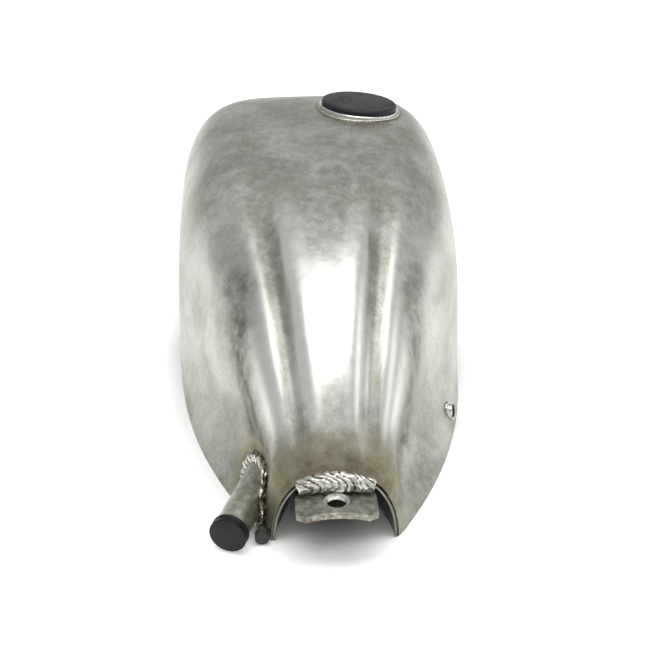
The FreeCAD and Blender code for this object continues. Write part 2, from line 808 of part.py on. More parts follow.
def finish_shells(left_drills, right_drills):
    """The side pressings with the holes for their fittings."""
    for side_name, drills in (("left", left_drills), ("right", right_drills)):
        shell = shape_of(f"{side_name}_shell_blank")
        for drill in drills:
            shell = shell.cut(drill)
        add_shape(f"{side_name}_shell", max(shell.Solids, key=lambda solid: solid.Volume))


def main():
    outer = both_sides(half_skin_solid(0.0))
    inner = both_sides(half_skin_solid(size("skin_wall")))
    tunnel = both_sides(half_tunnel_solid(0.0))
    make_skin(outer, inner, tunnel)
    make_tunnel_and_floors(outer, inner, tunnel)
    make_tabs(outer)
    filler_drill, outward = make_filler(outer)
    nipple_drill, nipple_tube = make_nipple(outer)
    left_drills = [make_spigot(outer, nipple_tube), nipple_drill]
    right_drills = [filler_drill, make_bung(outer)]
    finish_shells(left_drills, right_drills)
    doc.recompute()
    for item in doc.Objects:
        if "Invalid" in item.State or "Error" in item.State:
            raise RuntimeError(f"{item.Name} did not build: {item.State}")
    for item in sub_parts:
        if item.Shape.isNull() or not item.Shape.isValid():
            raise RuntimeError(f"{item.Label} has no valid shape")
    os.makedirs("parts", exist_ok=True)
    for item in sub_parts:
        item.Shape.exportStep(f"parts/{item.Label}.step")
        box = item.Shape.optimalBoundingBox(False)
        print(f"{item.Label}: solids {len(item.Shape.Solids)} volume {item.Shape.Volume:.0f}"
              f" x {box.XMin:.1f}..{box.XMax:.1f} y {box.YMin:.1f}..{box.YMax:.1f}"
              f" z {box.ZMin:.1f}..{box.ZMax:.1f}")
    print("filler axis", tuple(round(v, 5) for v in outward))
    print("spigot axis", tuple(round(v, 5) for v in spigot_direction()))


main()
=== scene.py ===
"""Looks of a bare steel motorcycle fuel tank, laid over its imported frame.

Metres throughout; +Z is up, +Y the wide front end and +X the rider's right, as in the frame.
"""

import json
import logging
import math
from dataclasses import dataclass, field
from enum import Enum

import bmesh
import bpy
import numpy as np
from mathutils import Matrix, Vector, noise
from mathutils.bvhtree import BVHTree


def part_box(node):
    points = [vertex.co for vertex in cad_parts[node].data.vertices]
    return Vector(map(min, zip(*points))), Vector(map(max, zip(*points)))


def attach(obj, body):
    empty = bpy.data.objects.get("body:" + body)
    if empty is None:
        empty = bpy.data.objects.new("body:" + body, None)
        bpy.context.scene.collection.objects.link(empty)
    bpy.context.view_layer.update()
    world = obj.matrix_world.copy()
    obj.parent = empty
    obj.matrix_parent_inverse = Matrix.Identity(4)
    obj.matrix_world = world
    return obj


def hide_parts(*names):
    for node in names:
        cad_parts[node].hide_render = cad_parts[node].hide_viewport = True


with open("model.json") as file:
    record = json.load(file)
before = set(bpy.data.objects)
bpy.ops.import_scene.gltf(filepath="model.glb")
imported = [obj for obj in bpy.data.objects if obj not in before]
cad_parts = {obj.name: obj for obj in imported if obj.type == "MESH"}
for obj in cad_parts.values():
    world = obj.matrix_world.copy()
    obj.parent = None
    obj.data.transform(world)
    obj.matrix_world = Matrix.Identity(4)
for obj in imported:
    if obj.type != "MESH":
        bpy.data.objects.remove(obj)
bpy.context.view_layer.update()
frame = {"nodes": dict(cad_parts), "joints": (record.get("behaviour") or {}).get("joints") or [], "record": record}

MM = 0.001
# beyond this distance nothing counts as near
FAR = 0.1
log = logging.getLogger("fuel_tank")


class Slot(Enum):
    """The record's material slots."""

    SKIN = "bare_skin"
    SEAM = "ground_seam"
    WELD = "weld"
    TAB = "tab_plate"
    TUBE = "tube_steel"
    TURNED = "turned_steel"
    PLASTIC = "plug_plastic"
    RUBBER = "nipple_rubber"


class Body(Enum):
    """The frame's bodies that pieces ride on."""

    TANK = "tank"
    FILLER_PLUG = "filler_plug"
    SPIGOT_CAP = "spigot_cap"
    NIPPLE_CAP = "nipple_cap"
    DRAIN_PLUG = "drain_plug"


# ---------------------------------------------------------------- node graphs


def linear(colour: str) -> tuple[float, float, float, float]:
    """Turns an sRGB hex colour into linear red, green, blue and alpha.

    Args:
        colour: six hex digits with a leading #.

    Returns:
        The linear colour, opaque.
    """
    channels = [int(colour[i:i + 2], 16) / 255 for i in (1, 3, 5)]
    toned = [c / 12.92 if c <= 0.04045 else ((c + 0.055) / 1.055) ** 2.4 for c in channels]
    return (toned[0], toned[1], toned[2], 1.0)


def per_metre(size_mm: float) -> float:
    """Returns the noise scale whose features are this many millimetres wide."""
    return 1 / (size_mm * MM)


@dataclass
class Graph:
    """A material's node tree and its shader."""

    name: str
    material: bpy.types.Material = field(init=False)
    tree: bpy.types.NodeTree = field(init=False)
    shader: bpy.types.Node = field(init=False)

    def __post_init__(self) -> None:
        """Makes the material with its one shader."""
        self.material = bpy.data.materials.new(self.name)
        self.material.use_nodes = True
        self.tree = self.material.node_tree
        self.shader = next(n for n in self.tree.nodes if n.type == "BSDF_PRINCIPLED")

    def add(self, kind: str, inputs: dict | None = None, **settings: object) -> bpy.types.Node:
        """Adds one node.

        Args:
            kind: the node's type name, without "ShaderNode".
            inputs: socket name or number to a value or to the output it is linked from.
            settings: the node's own properties.

        Returns:
            The new node.
        """
        made = self.tree.nodes.new("ShaderNode" + kind)
        for key, value in settings.items():
            setattr(made, key, value)
        for key, value in (inputs or {}).items():
            if isinstance(value, bpy.types.NodeSocket):
                self.tree.links.new(value, made.inputs[key])
            else:
                made.inputs[key].default_value = value
        return made

    def feed(self, socket: str, source: object) -> None:
        """Sets or links one socket of the shader.

        Args:
            socket: the shader socket's name.
            source: a value, or the output to link from.
        """
        target = self.shader.inputs[socket]
        if isinstance(source, bpy.types.NodeSocket):
            self.tree.links.new(source, target)
        else:
            target.default_value = source

    def place(self, stretch: tuple[float, float, float],
              turn: tuple[float, float, float]) -> bpy.types.NodeSocket:
        """Object coordinates, turned and then stretched.

        Args:
            stretch: scale along each axis.
            turn: degrees about each axis.

        Returns:
            The coordinates' output.
        """
        coordinates = self.add("TexCoord").outputs["Object"]
        turned = self.add("Mapping", {"Vector": coordinates, "Rotation": [math.radians(a) for a in turn]})
        return self.add("Mapping", {"Vector": turned.outputs[0], "Scale": stretch}).outputs[0]

    def speckle(self, size_mm: float, detail: float = 4.0, roughness: float = 0.55,
                stretch: tuple[float, float, float] = (1, 1, 1),
                turn: tuple[float, float, float] = (0, 0, 0)) -> bpy.types.NodeSocket:
        """Noise with features of a real size.

        Args:
            size_mm: width of a feature.
            detail: octaves.
            roughness: how strong the finer octaves are.
            stretch: squeezes the pattern along each axis.
            turn: turns the pattern first, in degrees.

        Returns:
            The noise value's output.
        """
        vector = self.place(stretch, turn)
        return self.add("TexNoise", {"Vector": vector, "Scale": per_metre(size_mm), "Detail": detail,
                                     "Roughness": roughness}).outputs[0]

    def ramp(self, value: bpy.types.NodeSocket, low: float, high: float,
             out_low: float = 0.0, out_high: float = 1.0) -> bpy.types.NodeSocket:
        """Returns value moved from the range low..high to out_low..out_high, clamped and smooth."""
        made = self.add("MapRange", {"Value": value, "From Min": low, "From Max": high,
                                     "To Min": out_low, "To Max": out_high}, interpolation_type="SMOOTHSTEP")
        return made.outputs[0]

    def maths(self, operation: str, first: object, second: object = 0.0) -> bpy.types.NodeSocket:
        """Returns one arithmetic result of two values or outputs."""
        return self.add("Math", {0: first, 1: second}, operation=operation).outputs[0]

    def blend(self, share: object, under: object, over: object, how: str = "MIX") -> bpy.types.NodeSocket:
        """Lays one colour over another.

        Args:
            share: how much of the upper colour shows, as a value or an output.
            under: the colour or output below.
            over: the colour or output above.
            how: the blend type.

        Returns:
            The mixed colour's output.
        """
        made = self.add("Mix", data_type="RGBA", blend_type=how)
        for socket, value in zip((made.inputs[0], made.inputs[6], made.inputs[7]), (share, under, over)):
            if isinstance(value, bpy.types.NodeSocket):
                self.tree.links.new(value, socket)
            else:
                socket.default_value = value
        return made.outputs[2]

    def shade(self, colour: bpy.types.NodeSocket, amount: bpy.types.NodeSocket) -> bpy.types.NodeSocket:
        """Returns a colour multiplied by one grey amount."""
        grey = self.add("CombineColor", {0: amount, 1: amount, 2: amount}).outputs[0]
        return self.blend(1.0, colour, grey, "MULTIPLY")

    def painted(self, name: str) -> bpy.types.NodeSocket:
        """Returns a mask stored on the piece's points."""
        return self.add("Attribute", attribute_name=name).outputs["Fac"]

    def bump(self, height: bpy.types.NodeSocket, depth_mm: float, strength: float,
             under: bpy.types.NodeSocket | None = None) -> bpy.types.NodeSocket:
        """Relief from a height pattern.

        Args:
            height: the pattern's output.
            depth_mm: its real depth.
            strength: share of it that shows.
            under: the normal output of an earlier relief, if there is one.

        Returns:
            The normal's output.
        """
        made = self.add("Bump", {"Height": height, "Distance": depth_mm * MM, "Strength": strength})
        if under:
            self.tree.links.new(under, made.inputs["Normal"])
        return made.outputs[0]


# ---------------------------------------------------------------- finishes


@dataclass(frozen=True)
class RawSheetSteel:
    """Deep-drawn mild steel sheet, planished and ground by hand, with no coating.

    Uneven satin: cloudy patches, fine crossed grinding scratches, straw and brown heat tint by the
    welds, a painted dark grey for shade and dark reflections in the hollows, flank valleys and rear tips,
    and a lighter tone that is partly painted highlight and partly polish.
    """

    name: str
    # lighter tone, partly painted highlight and partly polish
    clean: str = "#c4c4be"
    cloudy: str = "#97978d"
    highlight_and_polish_tone: str = "#dededa"
    straw: str = "#8e8971"
    brown: str = "#635945"
    # dark grey of the painted shade and painted dark reflection
    painted_shade_grey: str = "#4f4f46"
    rust: str = "#6b4a2e"
    olive: str = "#94907a"
    stain_mm: float = 30.0
    roughness: float = 0.40
    cloud_mm: float = 46.0
    mottle_mm: float = 8.0
    # real grinding scratches are near 0.1 mm; drawn coarser so that they show
    scratch_mm: float = 0.9

    def build(self) -> bpy.types.Material:
        """Returns the finished material."""
        g = Graph(self.name)
        cloud = g.ramp(g.speckle(self.cloud_mm, 5.0, 0.6), 0.36, 0.66)
        mottle = g.ramp(g.speckle(self.mottle_mm, 6.0, 0.62), 0.32, 0.70)
        along = g.speckle(self.scratch_mm, 3.0, 0.6, (1.0, 0.035, 1.0), (0, 0, 9))
        across = g.speckle(self.scratch_mm, 3.0, 0.6, (0.05, 1.0, 0.6), (0, 0, 38))
        scratches = g.maths("MULTIPLY", g.maths("ADD", along, across), 0.5)
        patchy = g.maths("ADD", g.maths("MULTIPLY", cloud, 0.6), g.maths("MULTIPLY", mottle, 0.4))
        colour = g.blend(patchy, linear(self.cloudy), linear(self.clean))
        stain = g.ramp(g.speckle(self.stain_mm, 5.0, 0.62, (1.0, 0.6, 1.0)), 0.50, 0.72, 0.0, 0.55)
        colour = g.blend(stain, colour, linear(self.olive))
        fine = g.ramp(scratches, 0.38, 0.62, 0.86, 1.08)
        colour = g.shade(colour, fine)
        # lighter tone where the mask is set: partly painted highlight, partly polish
        colour = g.blend(g.maths("MULTIPLY", g.painted("bright"), 0.75), colour, linear(self.highlight_and_polish_tone))
        # painted shade and painted dark reflection: dark grey where the skin's mask is set, broken up by noise
        shade_breakup = g.ramp(g.speckle(11.0, 5.0, 0.6), 0.30, 0.70, 0.45, 1.0)
        painted_shade = g.maths("MULTIPLY", g.painted("painted_shade"), shade_breakup)
        colour = g.blend(g.maths("MULTIPLY", painted_shade, 0.85), colour, linear(self.painted_shade_grey))
        uneven = g.ramp(g.speckle(12.0, 5.0, 0.6), 0.25, 0.75, 0.55, 1.0)
        heat = g.maths("MULTIPLY", g.painted("tempered"), uneven)
        colour = g.blend(g.ramp(heat, 0.10, 0.65, 0.0, 0.85), colour, linear(self.straw))
        colour = g.blend(g.ramp(heat, 0.50, 1.0, 0.0, 0.8), colour, linear(self.brown))
        specks = g.ramp(g.speckle(3.2, 3.0, 0.7), 0.66, 0.74)
        rust = g.maths("MULTIPLY", specks, g.ramp(g.speckle(38.0, 2.0), 0.48, 0.66))
        colour = g.blend(g.maths("MULTIPLY", rust, 0.5), colour, linear(self.rust))
        g.feed("Base Color", colour)
        dull = g.maths("MULTIPLY_ADD", mottle, 0.10)
        dull.node.inputs[2].default_value = self.roughness - 0.05
        dull = g.maths("ADD", dull, g.maths("MULTIPLY", painted_shade, 0.18))
        g.feed("Roughness", g.maths("SUBTRACT", dull, g.maths("MULTIPLY", g.painted("bright"), 0.06)))
        g.feed("Metallic", 1.0)
        relief = g.bump(scratches, 0.05, 0.45)
        pits = g.ramp(g.speckle(2.2, 2.0, 0.5), 0.70, 0.78, 1.0, 0.0)
        g.feed("Normal", g.bump(pits, 0.12, 0.5, relief))
        return g.material


@dataclass(frozen=True)
class WeldMetal:
    """Brushed weld metal: bright on its crowns, with brown oxide left between its ripples."""

    name: str
    crown: str = "#d2d1ca"
    oxide: str = "#483c2e"
    roughness: float = 0.30
    oxide_share: float = 0.75

    def build(self) -> bpy.types.Material:
        """Returns the finished material."""
        g = Graph(self.name)
        valleys = g.painted("valley")
        broken = g.ramp(g.speckle(2.4, 5.0, 0.65), 0.30, 0.66)
        share = g.maths("MULTIPLY", g.maths("MULTIPLY", valleys, broken), self.oxide_share * 2)
        patches = g.maths("MULTIPLY", g.ramp(g.speckle(11.0, 3.0), 0.52, 0.68), self.oxide_share)
        colour = g.blend(g.maths("MAXIMUM", share, patches), linear(self.crown), linear(self.oxide))
        g.feed("Base Color", colour)
        g.feed("Metallic", 1.0)
        polish = g.speckle(3.0, 4.0)
        g.feed("Roughness", g.ramp(polish, 0.3, 0.7, self.roughness - 0.06, self.roughness + 0.14))
        g.feed("Normal", g.bump(g.speckle(1.4, 4.0, 0.6), 0.15, 0.5))
        return g.material


@dataclass(frozen=True)
class PlateSteel:
    """Hot-rolled plate or drawn tube: mill scale rubbed through, with a green-grey cast and edge rust."""

    name: str
    rubbed: str = "#a9aa9f"
    scale: str = "#7c7d72"
    filed: str = "#dcdcd6"
    rust: str = "#6d4630"
    roughness: float = 0.40
    rust_share: float = 0.6
    grain_mm: float = 0.8
    grain_stretch: tuple[float, float, float] = (0.06, 1.0, 1.0)

    def build(self) -> bpy.types.Material:
        """Returns the finished material."""
        g = Graph(self.name)
        patches = g.ramp(g.speckle(7.0, 5.0, 0.62), 0.36, 0.66)
        grain = g.speckle(self.grain_mm, 3.0, 0.6, self.grain_stretch)
        colour = g.blend(patches, linear(self.scale), linear(self.rubbed))
        fine = g.ramp(grain, 0.36, 0.64, 0.84, 1.08)
        colour = g.shade(colour, fine)
        bloom = g.ramp(g.speckle(4.0, 5.0, 0.7), 0.42, 0.62)
        rusty = g.maths("MULTIPLY", g.maths("MULTIPLY", g.painted("rust"), bloom), self.rust_share)
        colour = g.blend(g.painted("filed"), colour, linear(self.filed))
        g.feed("Base Color", g.blend(rusty, colour, linear(self.rust)))
        g.feed("Metallic", g.ramp(rusty, 0.1, 0.6, 1.0, 0.35))
        g.feed("Roughness", g.ramp(rusty, 0.0, 0.6, self.roughness, 0.75))
        g.feed("Normal", g.bump(grain, 0.05, 0.4))
        return g.material


@dataclass(frozen=True)
class SatinPolythene:
    """Injection-moulded black polythene: an even satin with a very fine spark texture and light scuffs."""

    name: str
    colour: str = "#101214"
    scuffed: str = "#26292c"
    roughness: float = 0.48
    # the real spark texture is about 0.1 mm; drawn coarser so that it shows
    grain_mm: float = 0.5

    def build(self) -> bpy.types.Material:
        """Returns the finished material."""
        g = Graph(self.name)
        scuffs = g.ramp(g.speckle(1.0, 4.0, 0.6, (0.08, 1.0, 1.0), (0, 0, 35)), 0.60, 0.72)
        dust = g.ramp(g.speckle(14.0, 4.0), 0.40, 0.75)
        share = g.maths("ADD", g.maths("MULTIPLY", scuffs, 0.35), g.maths("MULTIPLY", dust, 0.25))
        g.feed("Base Color", g.blend(share, linear(self.colour), linear(self.scuffed)))
        g.feed("Roughness", g.ramp(dust, 0.0, 1.0, self.roughness - 0.05, self.roughness + 0.1))
        g.feed("Specular IOR Level", 0.3)
        g.feed("Normal", g.bump(g.speckle(self.grain_mm, 2.0), 0.03, 0.35))
        return g.material


@dataclass(frozen=True)
class StudioPaper:
    """Matte white background paper with a painted glow that fades out around the tank, and a painted shadow: a
    dark area on the paper under the tunnel.
    """

    name: str
    colour: str = "#fbfbfa"
    glow: float = 0.55
    painted_shadow: str = "#4a4a48"
    shade_half: tuple[float, float] = (0.125, 0.26)
    painted_shadow_half: tuple[float, float] = (0.055, 0.245)

    def build(self) -> bpy.types.Material:
        """Returns the finished material."""
        g = Graph(self.name)
        uneven = g.ramp(g.speckle(120.0, 3.0), 0.3, 0.7, 0.0, 0.12)
        paper = g.blend(uneven, linear(self.colour), linear("#f4f4f2"))
        tunnel = (1 / self.painted_shadow_half[0], 1 / self.painted_shadow_half[1], 0.0)
        inside = g.add("VectorMath", {0: g.place(tunnel, (0, 0, 0))}, operation="LENGTH").outputs["Value"]
        # painted shadow: dark paper under the tunnel, where only shade falls
        g.feed("Base Color", g.blend(g.ramp(inside, 0.7, 1.1), linear(self.painted_shadow), paper))
        g.feed("Roughness", 0.9)
        # painted glow: the paper gives off light of its own, fading to nothing around the tank so that the floor
        # there is darker
        g.feed("Emission Color", linear(self.colour))
        spread = (1 / self.shade_half[0], 1 / self.shade_half[1], 0.0)
        away = g.add("VectorMath", {0: g.place(spread, (0, 0, 0))}, operation="LENGTH").outputs["Value"]
        g.feed("Emission Strength", g.ramp(away, 0.85, 1.25, 0.0, self.glow))
        return g.material


# ---------------------------------------------------------------- mesh helpers


def smooth_share(value: np.ndarray, start: float, end: float) -> np.ndarray:
    """Returns 0 up to start, 1 from end on and a smooth rise between, for an array."""
    share = np.clip((value - start) / (end - start), 0, 1)
    return share * share * (3 - 2 * share)


def points_of(mesh: bpy.types.Mesh) -> np.ndarray:
    """Reads a mesh's points.

    Args:
        mesh: the mesh.

    Returns:
        Rows of x, y and z.
    """
    flat = np.empty(len(mesh.vertices) * 3, np.float32)
    mesh.vertices.foreach_get("co", flat)
    return flat.reshape(-1, 3).astype(float)


def paint(mesh: bpy.types.Mesh, name: str, values: np.ndarray) -> None:
    """Stores a mask of one value per point under a name that a finish reads."""
    layer = mesh.attributes.new(name, "FLOAT", "POINT")
    layer.data.foreach_set("value", np.clip(values, 0, 1).astype(np.float32))


def noise_at(points: np.ndarray, size_mm: float, seed: float) -> np.ndarray:
    """Smooth noise from -1 to 1 at each point.

    Args:
        points: rows of x, y and z in metres.
        size_mm: width of a feature.
        seed: shifts the pattern.

    Returns:
        One value per point.
    """
    scale = per_metre(size_mm)
    shift = Vector((seed, -seed, 2 * seed))
    return np.array([noise.noise(Vector(p) * scale + shift) for p in points])


def distance_to(node: str, points: np.ndarray) -> np.ndarray:
    """Measures how far points are from a CAD node.

    Args:
        node: the CAD node.
        points: rows of x, y and z.

    Returns:
        One distance per point, cut off at FAR.
    """
    mesh = frame["nodes"][node].data
    tree = BVHTree.FromPolygons([v.co for v in mesh.vertices], [list(p.vertices) for p in mesh.polygons])
    found = [tree.find_nearest(Vector(p), FAR)[3] for p in points]
    return np.array([FAR if d is None else d for d in found])


def finish_piece(mesh: bpy.types.Mesh, name: str, body: Body, material: bpy.types.Material,
                 nodes: tuple[str, ...]) -> bpy.types.Object:
    """Puts a mesh into the scene as a piece that stands for CAD nodes.

    Args:
        mesh: the piece's final mesh, in the frame's coordinates.
        name: the piece's name.
        body: what it rides on.
        material: its finish.
        nodes: the CAD nodes it stands for.

    Returns:
        The new object.
    """
    piece = bpy.data.objects.new(name, mesh)
    bpy.context.scene.collection.objects.link(piece)
    mesh.materials.clear()
    mesh.materials.append(material)
    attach(piece, body.value)
    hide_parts(*nodes)
    log.info("%s: %d faces for %s", name, len(mesh.polygons), ", ".join(nodes))
    return piece


def merged_copy(node: str) -> bmesh.types.BMesh:
    """Copies a CAD node's shape with its loose triangles joined.

    Args:
        node: the CAD node.

    Returns:
        The copy.
    """
    bm = bmesh.new()
    bm.from_mesh(frame["nodes"][node].data)
    bmesh.ops.remove_doubles(bm, verts=bm.verts, dist=0.005 * MM)
    return bm


def recast(node: str, voxel_mm: float, settle: int = 2) -> bpy.types.Mesh:
    """A CAD node's shape as an even fine mesh with its edges broken, ready for surface relief.

    Args:
        node: the CAD node.
        voxel_mm: the size of its cells.
        settle: how often its points are relaxed, which rounds the edges.

    Returns:
        The new mesh.
    """
    bm = merged_copy(node)
    rough = bpy.data.meshes.new(node + "_rough")
    bm.to_mesh(rough)
    bm.free()
    holder = bpy.data.objects.new(node + "_holder", rough)
    bpy.context.scene.collection.objects.link(holder)
    remesh = holder.modifiers.new("cells", "REMESH")
    remesh.mode = "VOXEL"
    remesh.voxel_size = voxel_mm * MM
    graph = bpy.context.evaluated_depsgraph_get()
    even = bpy.data.meshes.new_from_object(holder.evaluated_get(graph))
    bpy.data.objects.remove(holder)
    bpy.data.meshes.remove(rough)
    bm = bmesh.new()
    bm.from_mesh(even)
    for _ in range(settle):
        bmesh.ops.smooth_vert(bm, verts=bm.verts, factor=0.5, use_axis_x=True, use_axis_y=True,
                              use_axis_z=True)
    for face in bm.faces:
        face.smooth = True
    bm.to_mesh(even)
    bm.free()
    return even


def raise_surface(mesh: bpy.types.Mesh, heights: np.ndarray) -> None:
    """Moves each point of a mesh outwards along its normal.

    Args:
        mesh: the mesh to change.
        heights: one height in metres per point.
    """
    bm = bmesh.new()
    bm.from_mesh(mesh)
    bm.normal_update()
    for vertex, height in zip(bm.verts, heights):
        vertex.co += vertex.normal * float(height)
    bm.to_mesh(mesh)
    bm.free()


@dataclass(frozen=True)
class Axle:
    """The centre line of a turned node: a point on it at the node's outer end, and the way out."""

    end: Vector
    out: Vector
    length: float
    radius: float

    @staticmethod
    def of(node: str, out: Vector) -> "Axle":
        """Measures a turned CAD node.

        Args:
            node: the CAD node.
            out: the way its outer end faces.

        Returns:
            Its centre line.
        """
        bm = merged_copy(node)
        bmesh.ops.triangulate(bm, faces=bm.faces)
        total, centre = 0.0, Vector((0, 0, 0))
        for face in bm.faces:
            area = face.calc_area()
            total += area
            centre += face.calc_center_median() * area
        centre /= total
        reach = [(vertex.co - centre).dot(out) for vertex in bm.verts]
        wide = max((v.co - centre - out * r).length for v, r in zip(bm.verts, reach))
        bm.free()
        return Axle(centre + out * max(reach), out, max(reach) - min(reach), wide)


def joint_axis(child: Body) -> Vector:
    """Returns the way a loose piece pulls off."""
    joint = next(j for j in frame["joints"] if j["child"] == child.value)
    return Vector(joint["axis"]).normalized()


def turned(profile: list[tuple[float, float]], axle: Axle, steps: int) -> bpy.types.Mesh:
    """Spins a closed profile about a node's centre line.

    Args:
        profile: corners (radius, depth below the outer end) in millimetres, in order round the section.
        axle: the centre line.
        steps: segments round the turn.

    Returns:
        The closed mesh, smooth where it turns gently.
    """
    bm = bmesh.new()
    ring = [bm.verts.new((radius * MM, 0, -depth * MM)) for radius, depth in profile]
    edges = [bm.edges.new((a, b)) for a, b in zip(ring, ring[1:])]
    if profile[0][0] > 0:
        edges.append(bm.edges.new((ring[-1], ring[0])))
    bmesh.ops.spin(bm, geom=ring + edges, cent=(0, 0, 0), axis=(0, 0, 1), angle=2 * math.pi, steps=steps,
                   use_merge=True, use_duplicate=False)
    bmesh.ops.remove_doubles(bm, verts=bm.verts, dist=0.001 * MM)
    bmesh.ops.recalc_face_normals(bm, faces=bm.faces)
    turn = Vector((0, 0, 1)).rotation_difference(axle.out).to_matrix().to_4x4()
    bmesh.ops.transform(bm, matrix=Matrix.Translation(axle.end) @ turn, verts=bm.verts)
    for face in bm.faces:
        face.smooth = True
    for edge in bm.edges:
        edge.smooth = edge.calc_face_angle(0.0) < math.radians(40)
    mesh = bpy.data.meshes.new("turned")
    bm.to_mesh(mesh)
    bm.free()
    return mesh


def rounded(corner: tuple[float, float], radius: float, start: float, end: float,
            count: int) -> list[tuple[float, float]]:
    """Points on a quarter round about a corner's centre.

    Args:
        corner: the centre (radius, depth) of the round, in millimetres.
        radius: its radius.
        start: first angle in degrees; 0 points outwards and 90 up.
        end: last angle.
        count: number of points.

    Returns:
        The points (radius, depth).
    """
    angles = [math.radians(start + (end - start) * i / (count - 1)) for i in range(count)]
    return [(corner[0] + radius * math.cos(a), corner[1] - radius * math.sin(a)) for a in angles]


# ---------------------------------------------------------------- skin


@dataclass(frozen=True)
class PressMark:
    """A small spot pressed into the skin."""

    middle_mm: tuple[float, float, float]
    depth_mm: float
    width_mm: float
    shortness: float = 1.0

    def dip(self, points: np.ndarray, mouth_y: float) -> np.ndarray:
        """Works out how far the mark presses each point in.

        Args:
            points: rows by columns of x, y and z.
            mouth_y: y of the mouth, from which the mark's middle is measured.

        Returns:
            Depths in metres.
        """
        across, station, up = (value * MM for value in self.middle_mm)
        middle = np.array((across, mouth_y + station, up))
        away = np.linalg.norm((points - middle) * (1, self.shortness, 1), axis=2)
        return self.depth_mm * MM * np.exp(-(away / (self.width_mm * MM)) ** 2)


@dataclass(frozen=True)
class SkinTone:
    """Where the skin gets a lighter tone (partly painted highlight, partly polish), painted shade and dark
    reflection, and heat tint.

    Ranges are in millimetres: stations run forward from the mouth, sides outwards from the middle.
    """

    mouth_y: float
    rear: tuple[float, float] = (130, 230)
    hollow: tuple[float, float] = (0.10, 1.2)
    ridge: tuple[float, float] = (1.6, 3.6)
    patch_mm: float = 24.0
    patch_seed: float = 5.5
    tip_station: tuple[float, float] = (8, 46)
    tip_side: tuple[float, float] = (30, 42)
    right_tip: float = 0.45
    flank_change: tuple[float, float] = (30, 150)
    flank_turn: tuple[float, float] = (52, 27)
    flank_width: tuple[float, float] = (13, 9)
    flank_end: tuple[float, float] = (110, 215)
    right_flank: float = 0.75
    strip_side: tuple[float, float] = (22, 34)
    strip_start: tuple[float, float] = (28, 52)
    strip_end: tuple[float, float] = (90, 190)
    tints: tuple[tuple[str, float], ...] = (("rear_tab_bead", 33), ("spigot_bead", 12),
                                            ("filler_neck_bead", 3))
    low_station: tuple[float, float] = (6, 60)
    low_side: tuple[float, float] = (26, 40)
    low_tint: float = 0.45
    crescent_middle: tuple[float, float] = (10, 222)
    crescent_size: tuple[float, float] = (20, 36)
    crescent_ring: tuple[float, float] = (0.85, 0.13)
    crescent_slant: float = 0.6
    crescent_share: float = 0.45

    @staticmethod
    def rise(values: np.ndarray, span: tuple[float, float]) -> np.ndarray:
        """Returns the smooth rise of values in metres over a span in millimetres."""
        return smooth_share(values, span[0] * MM, span[1] * MM)

    def flank(self, points: np.ndarray, station: np.ndarray) -> np.ndarray:
        """Finds the long valley between each side ridge and the outer wall, where a dark reflection is painted.

        Args:
            points: rows of x, y and z.
            station: each point's distance from the mouth.

        Returns:
            One share per point.
        """
        turn = np.degrees(np.arctan2(np.abs(points[:, 0]), points[:, 2]))
        change = self.rise(station, self.flank_change)
        middle = self.flank_turn[0] + (self.flank_turn[1] - self.flank_turn[0]) * change
        width = self.flank_width[0] + (self.flank_width[1] - self.flank_width[0]) * change
        share = np.exp(-((turn - middle) / width) ** 2) * (1 - self.rise(station, self.flank_end))
        return share * np.where(points[:, 0] < 0, 1.0, self.right_flank)

    def tempered(self, points: np.ndarray, station: np.ndarray) -> np.ndarray:
        """Finds the steel that the welds' heat has tinted.

        Args:
            points: rows of x, y and z.
            station: each point's distance from the mouth.

        Returns:
            One share per point.
        """
        heat = self.low_tint * (1 - self.rise(station, self.low_station))
        heat *= self.rise(np.abs(points[:, 0]), self.low_side)
        for bead, spread in self.tints:
            heat = np.maximum(heat, np.exp(-(distance_to(bead, points) / (spread * MM)) ** 2))
        return heat

    def crescent(self, points: np.ndarray, station: np.ndarray) -> np.ndarray:
        """Finds the pale crescent on the crown.

        Args:
            points: rows of x, y and z.
            station: each point's distance from the mouth.

        Returns:
            One share per point.
        """
        across = points[:, 0] - self.crescent_middle[0] * MM
        along = station - self.crescent_middle[1] * MM
        ring = np.hypot(across / (self.crescent_size[0] * MM), along / (self.crescent_size[1] * MM))
        share = np.exp(-((ring - self.crescent_ring[0]) / self.crescent_ring[1]) ** 2)
        share *= self.rise(points[:, 2], (120, 150))
        return share * self.rise(across + self.crescent_slant * along, (-14, 8))

    def masks(self, points: np.ndarray, hollow: np.ndarray) -> dict[str, np.ndarray]:
        """Works out every mask that the steel's finish reads.

        Args:
            points: rows of x, y and z.
            hollow: how hollow the surface is at each.

        Returns:
            Mask names to one value per point.
        """
        station = points[:, 1] - self.mouth_y
        side = np.abs(points[:, 0])
        rear = 1 - self.rise(station, self.rear)
        patchy = 0.5 + 0.9 * noise_at(points, self.patch_mm, self.patch_seed)
        # painted shade: darker at the rear tips (more on the left), in the rear hollows, and along the flank
        # valleys as a painted dark reflection
        tip = (1 - self.rise(station, self.tip_station)) * self.rise(side, self.tip_side)
        tip *= np.where(points[:, 0] < 0, 1.0, self.right_tip)
        flank = self.flank(points, station)
        painted_shade = 0.5 * self.rise(hollow, self.hollow) * rear * np.clip(patchy + 0.25, 0.25, 1)
        painted_shade += tip + flank * (0.9 + 0.4 * patchy)
        # lighter tone, partly painted highlight and partly polish: the crown strip, the rear ridges away from the
        # flank valleys and the pale crescent
        strip = (1 - self.rise(side, self.strip_side)) * self.rise(station, self.strip_start)
        strip *= 1 - self.rise(station, self.strip_end)
        bright = np.maximum(self.rise(-hollow, self.ridge) * rear * (1 - flank), strip)
        heat = self.tempered(points, station)
        pale = self.crescent_share * self.crescent(points, station)
        bright = np.maximum(bright * (1 - 0.6 * heat), pale)
        return {"painted_shade": painted_shade, "bright": bright, "tempered": heat}


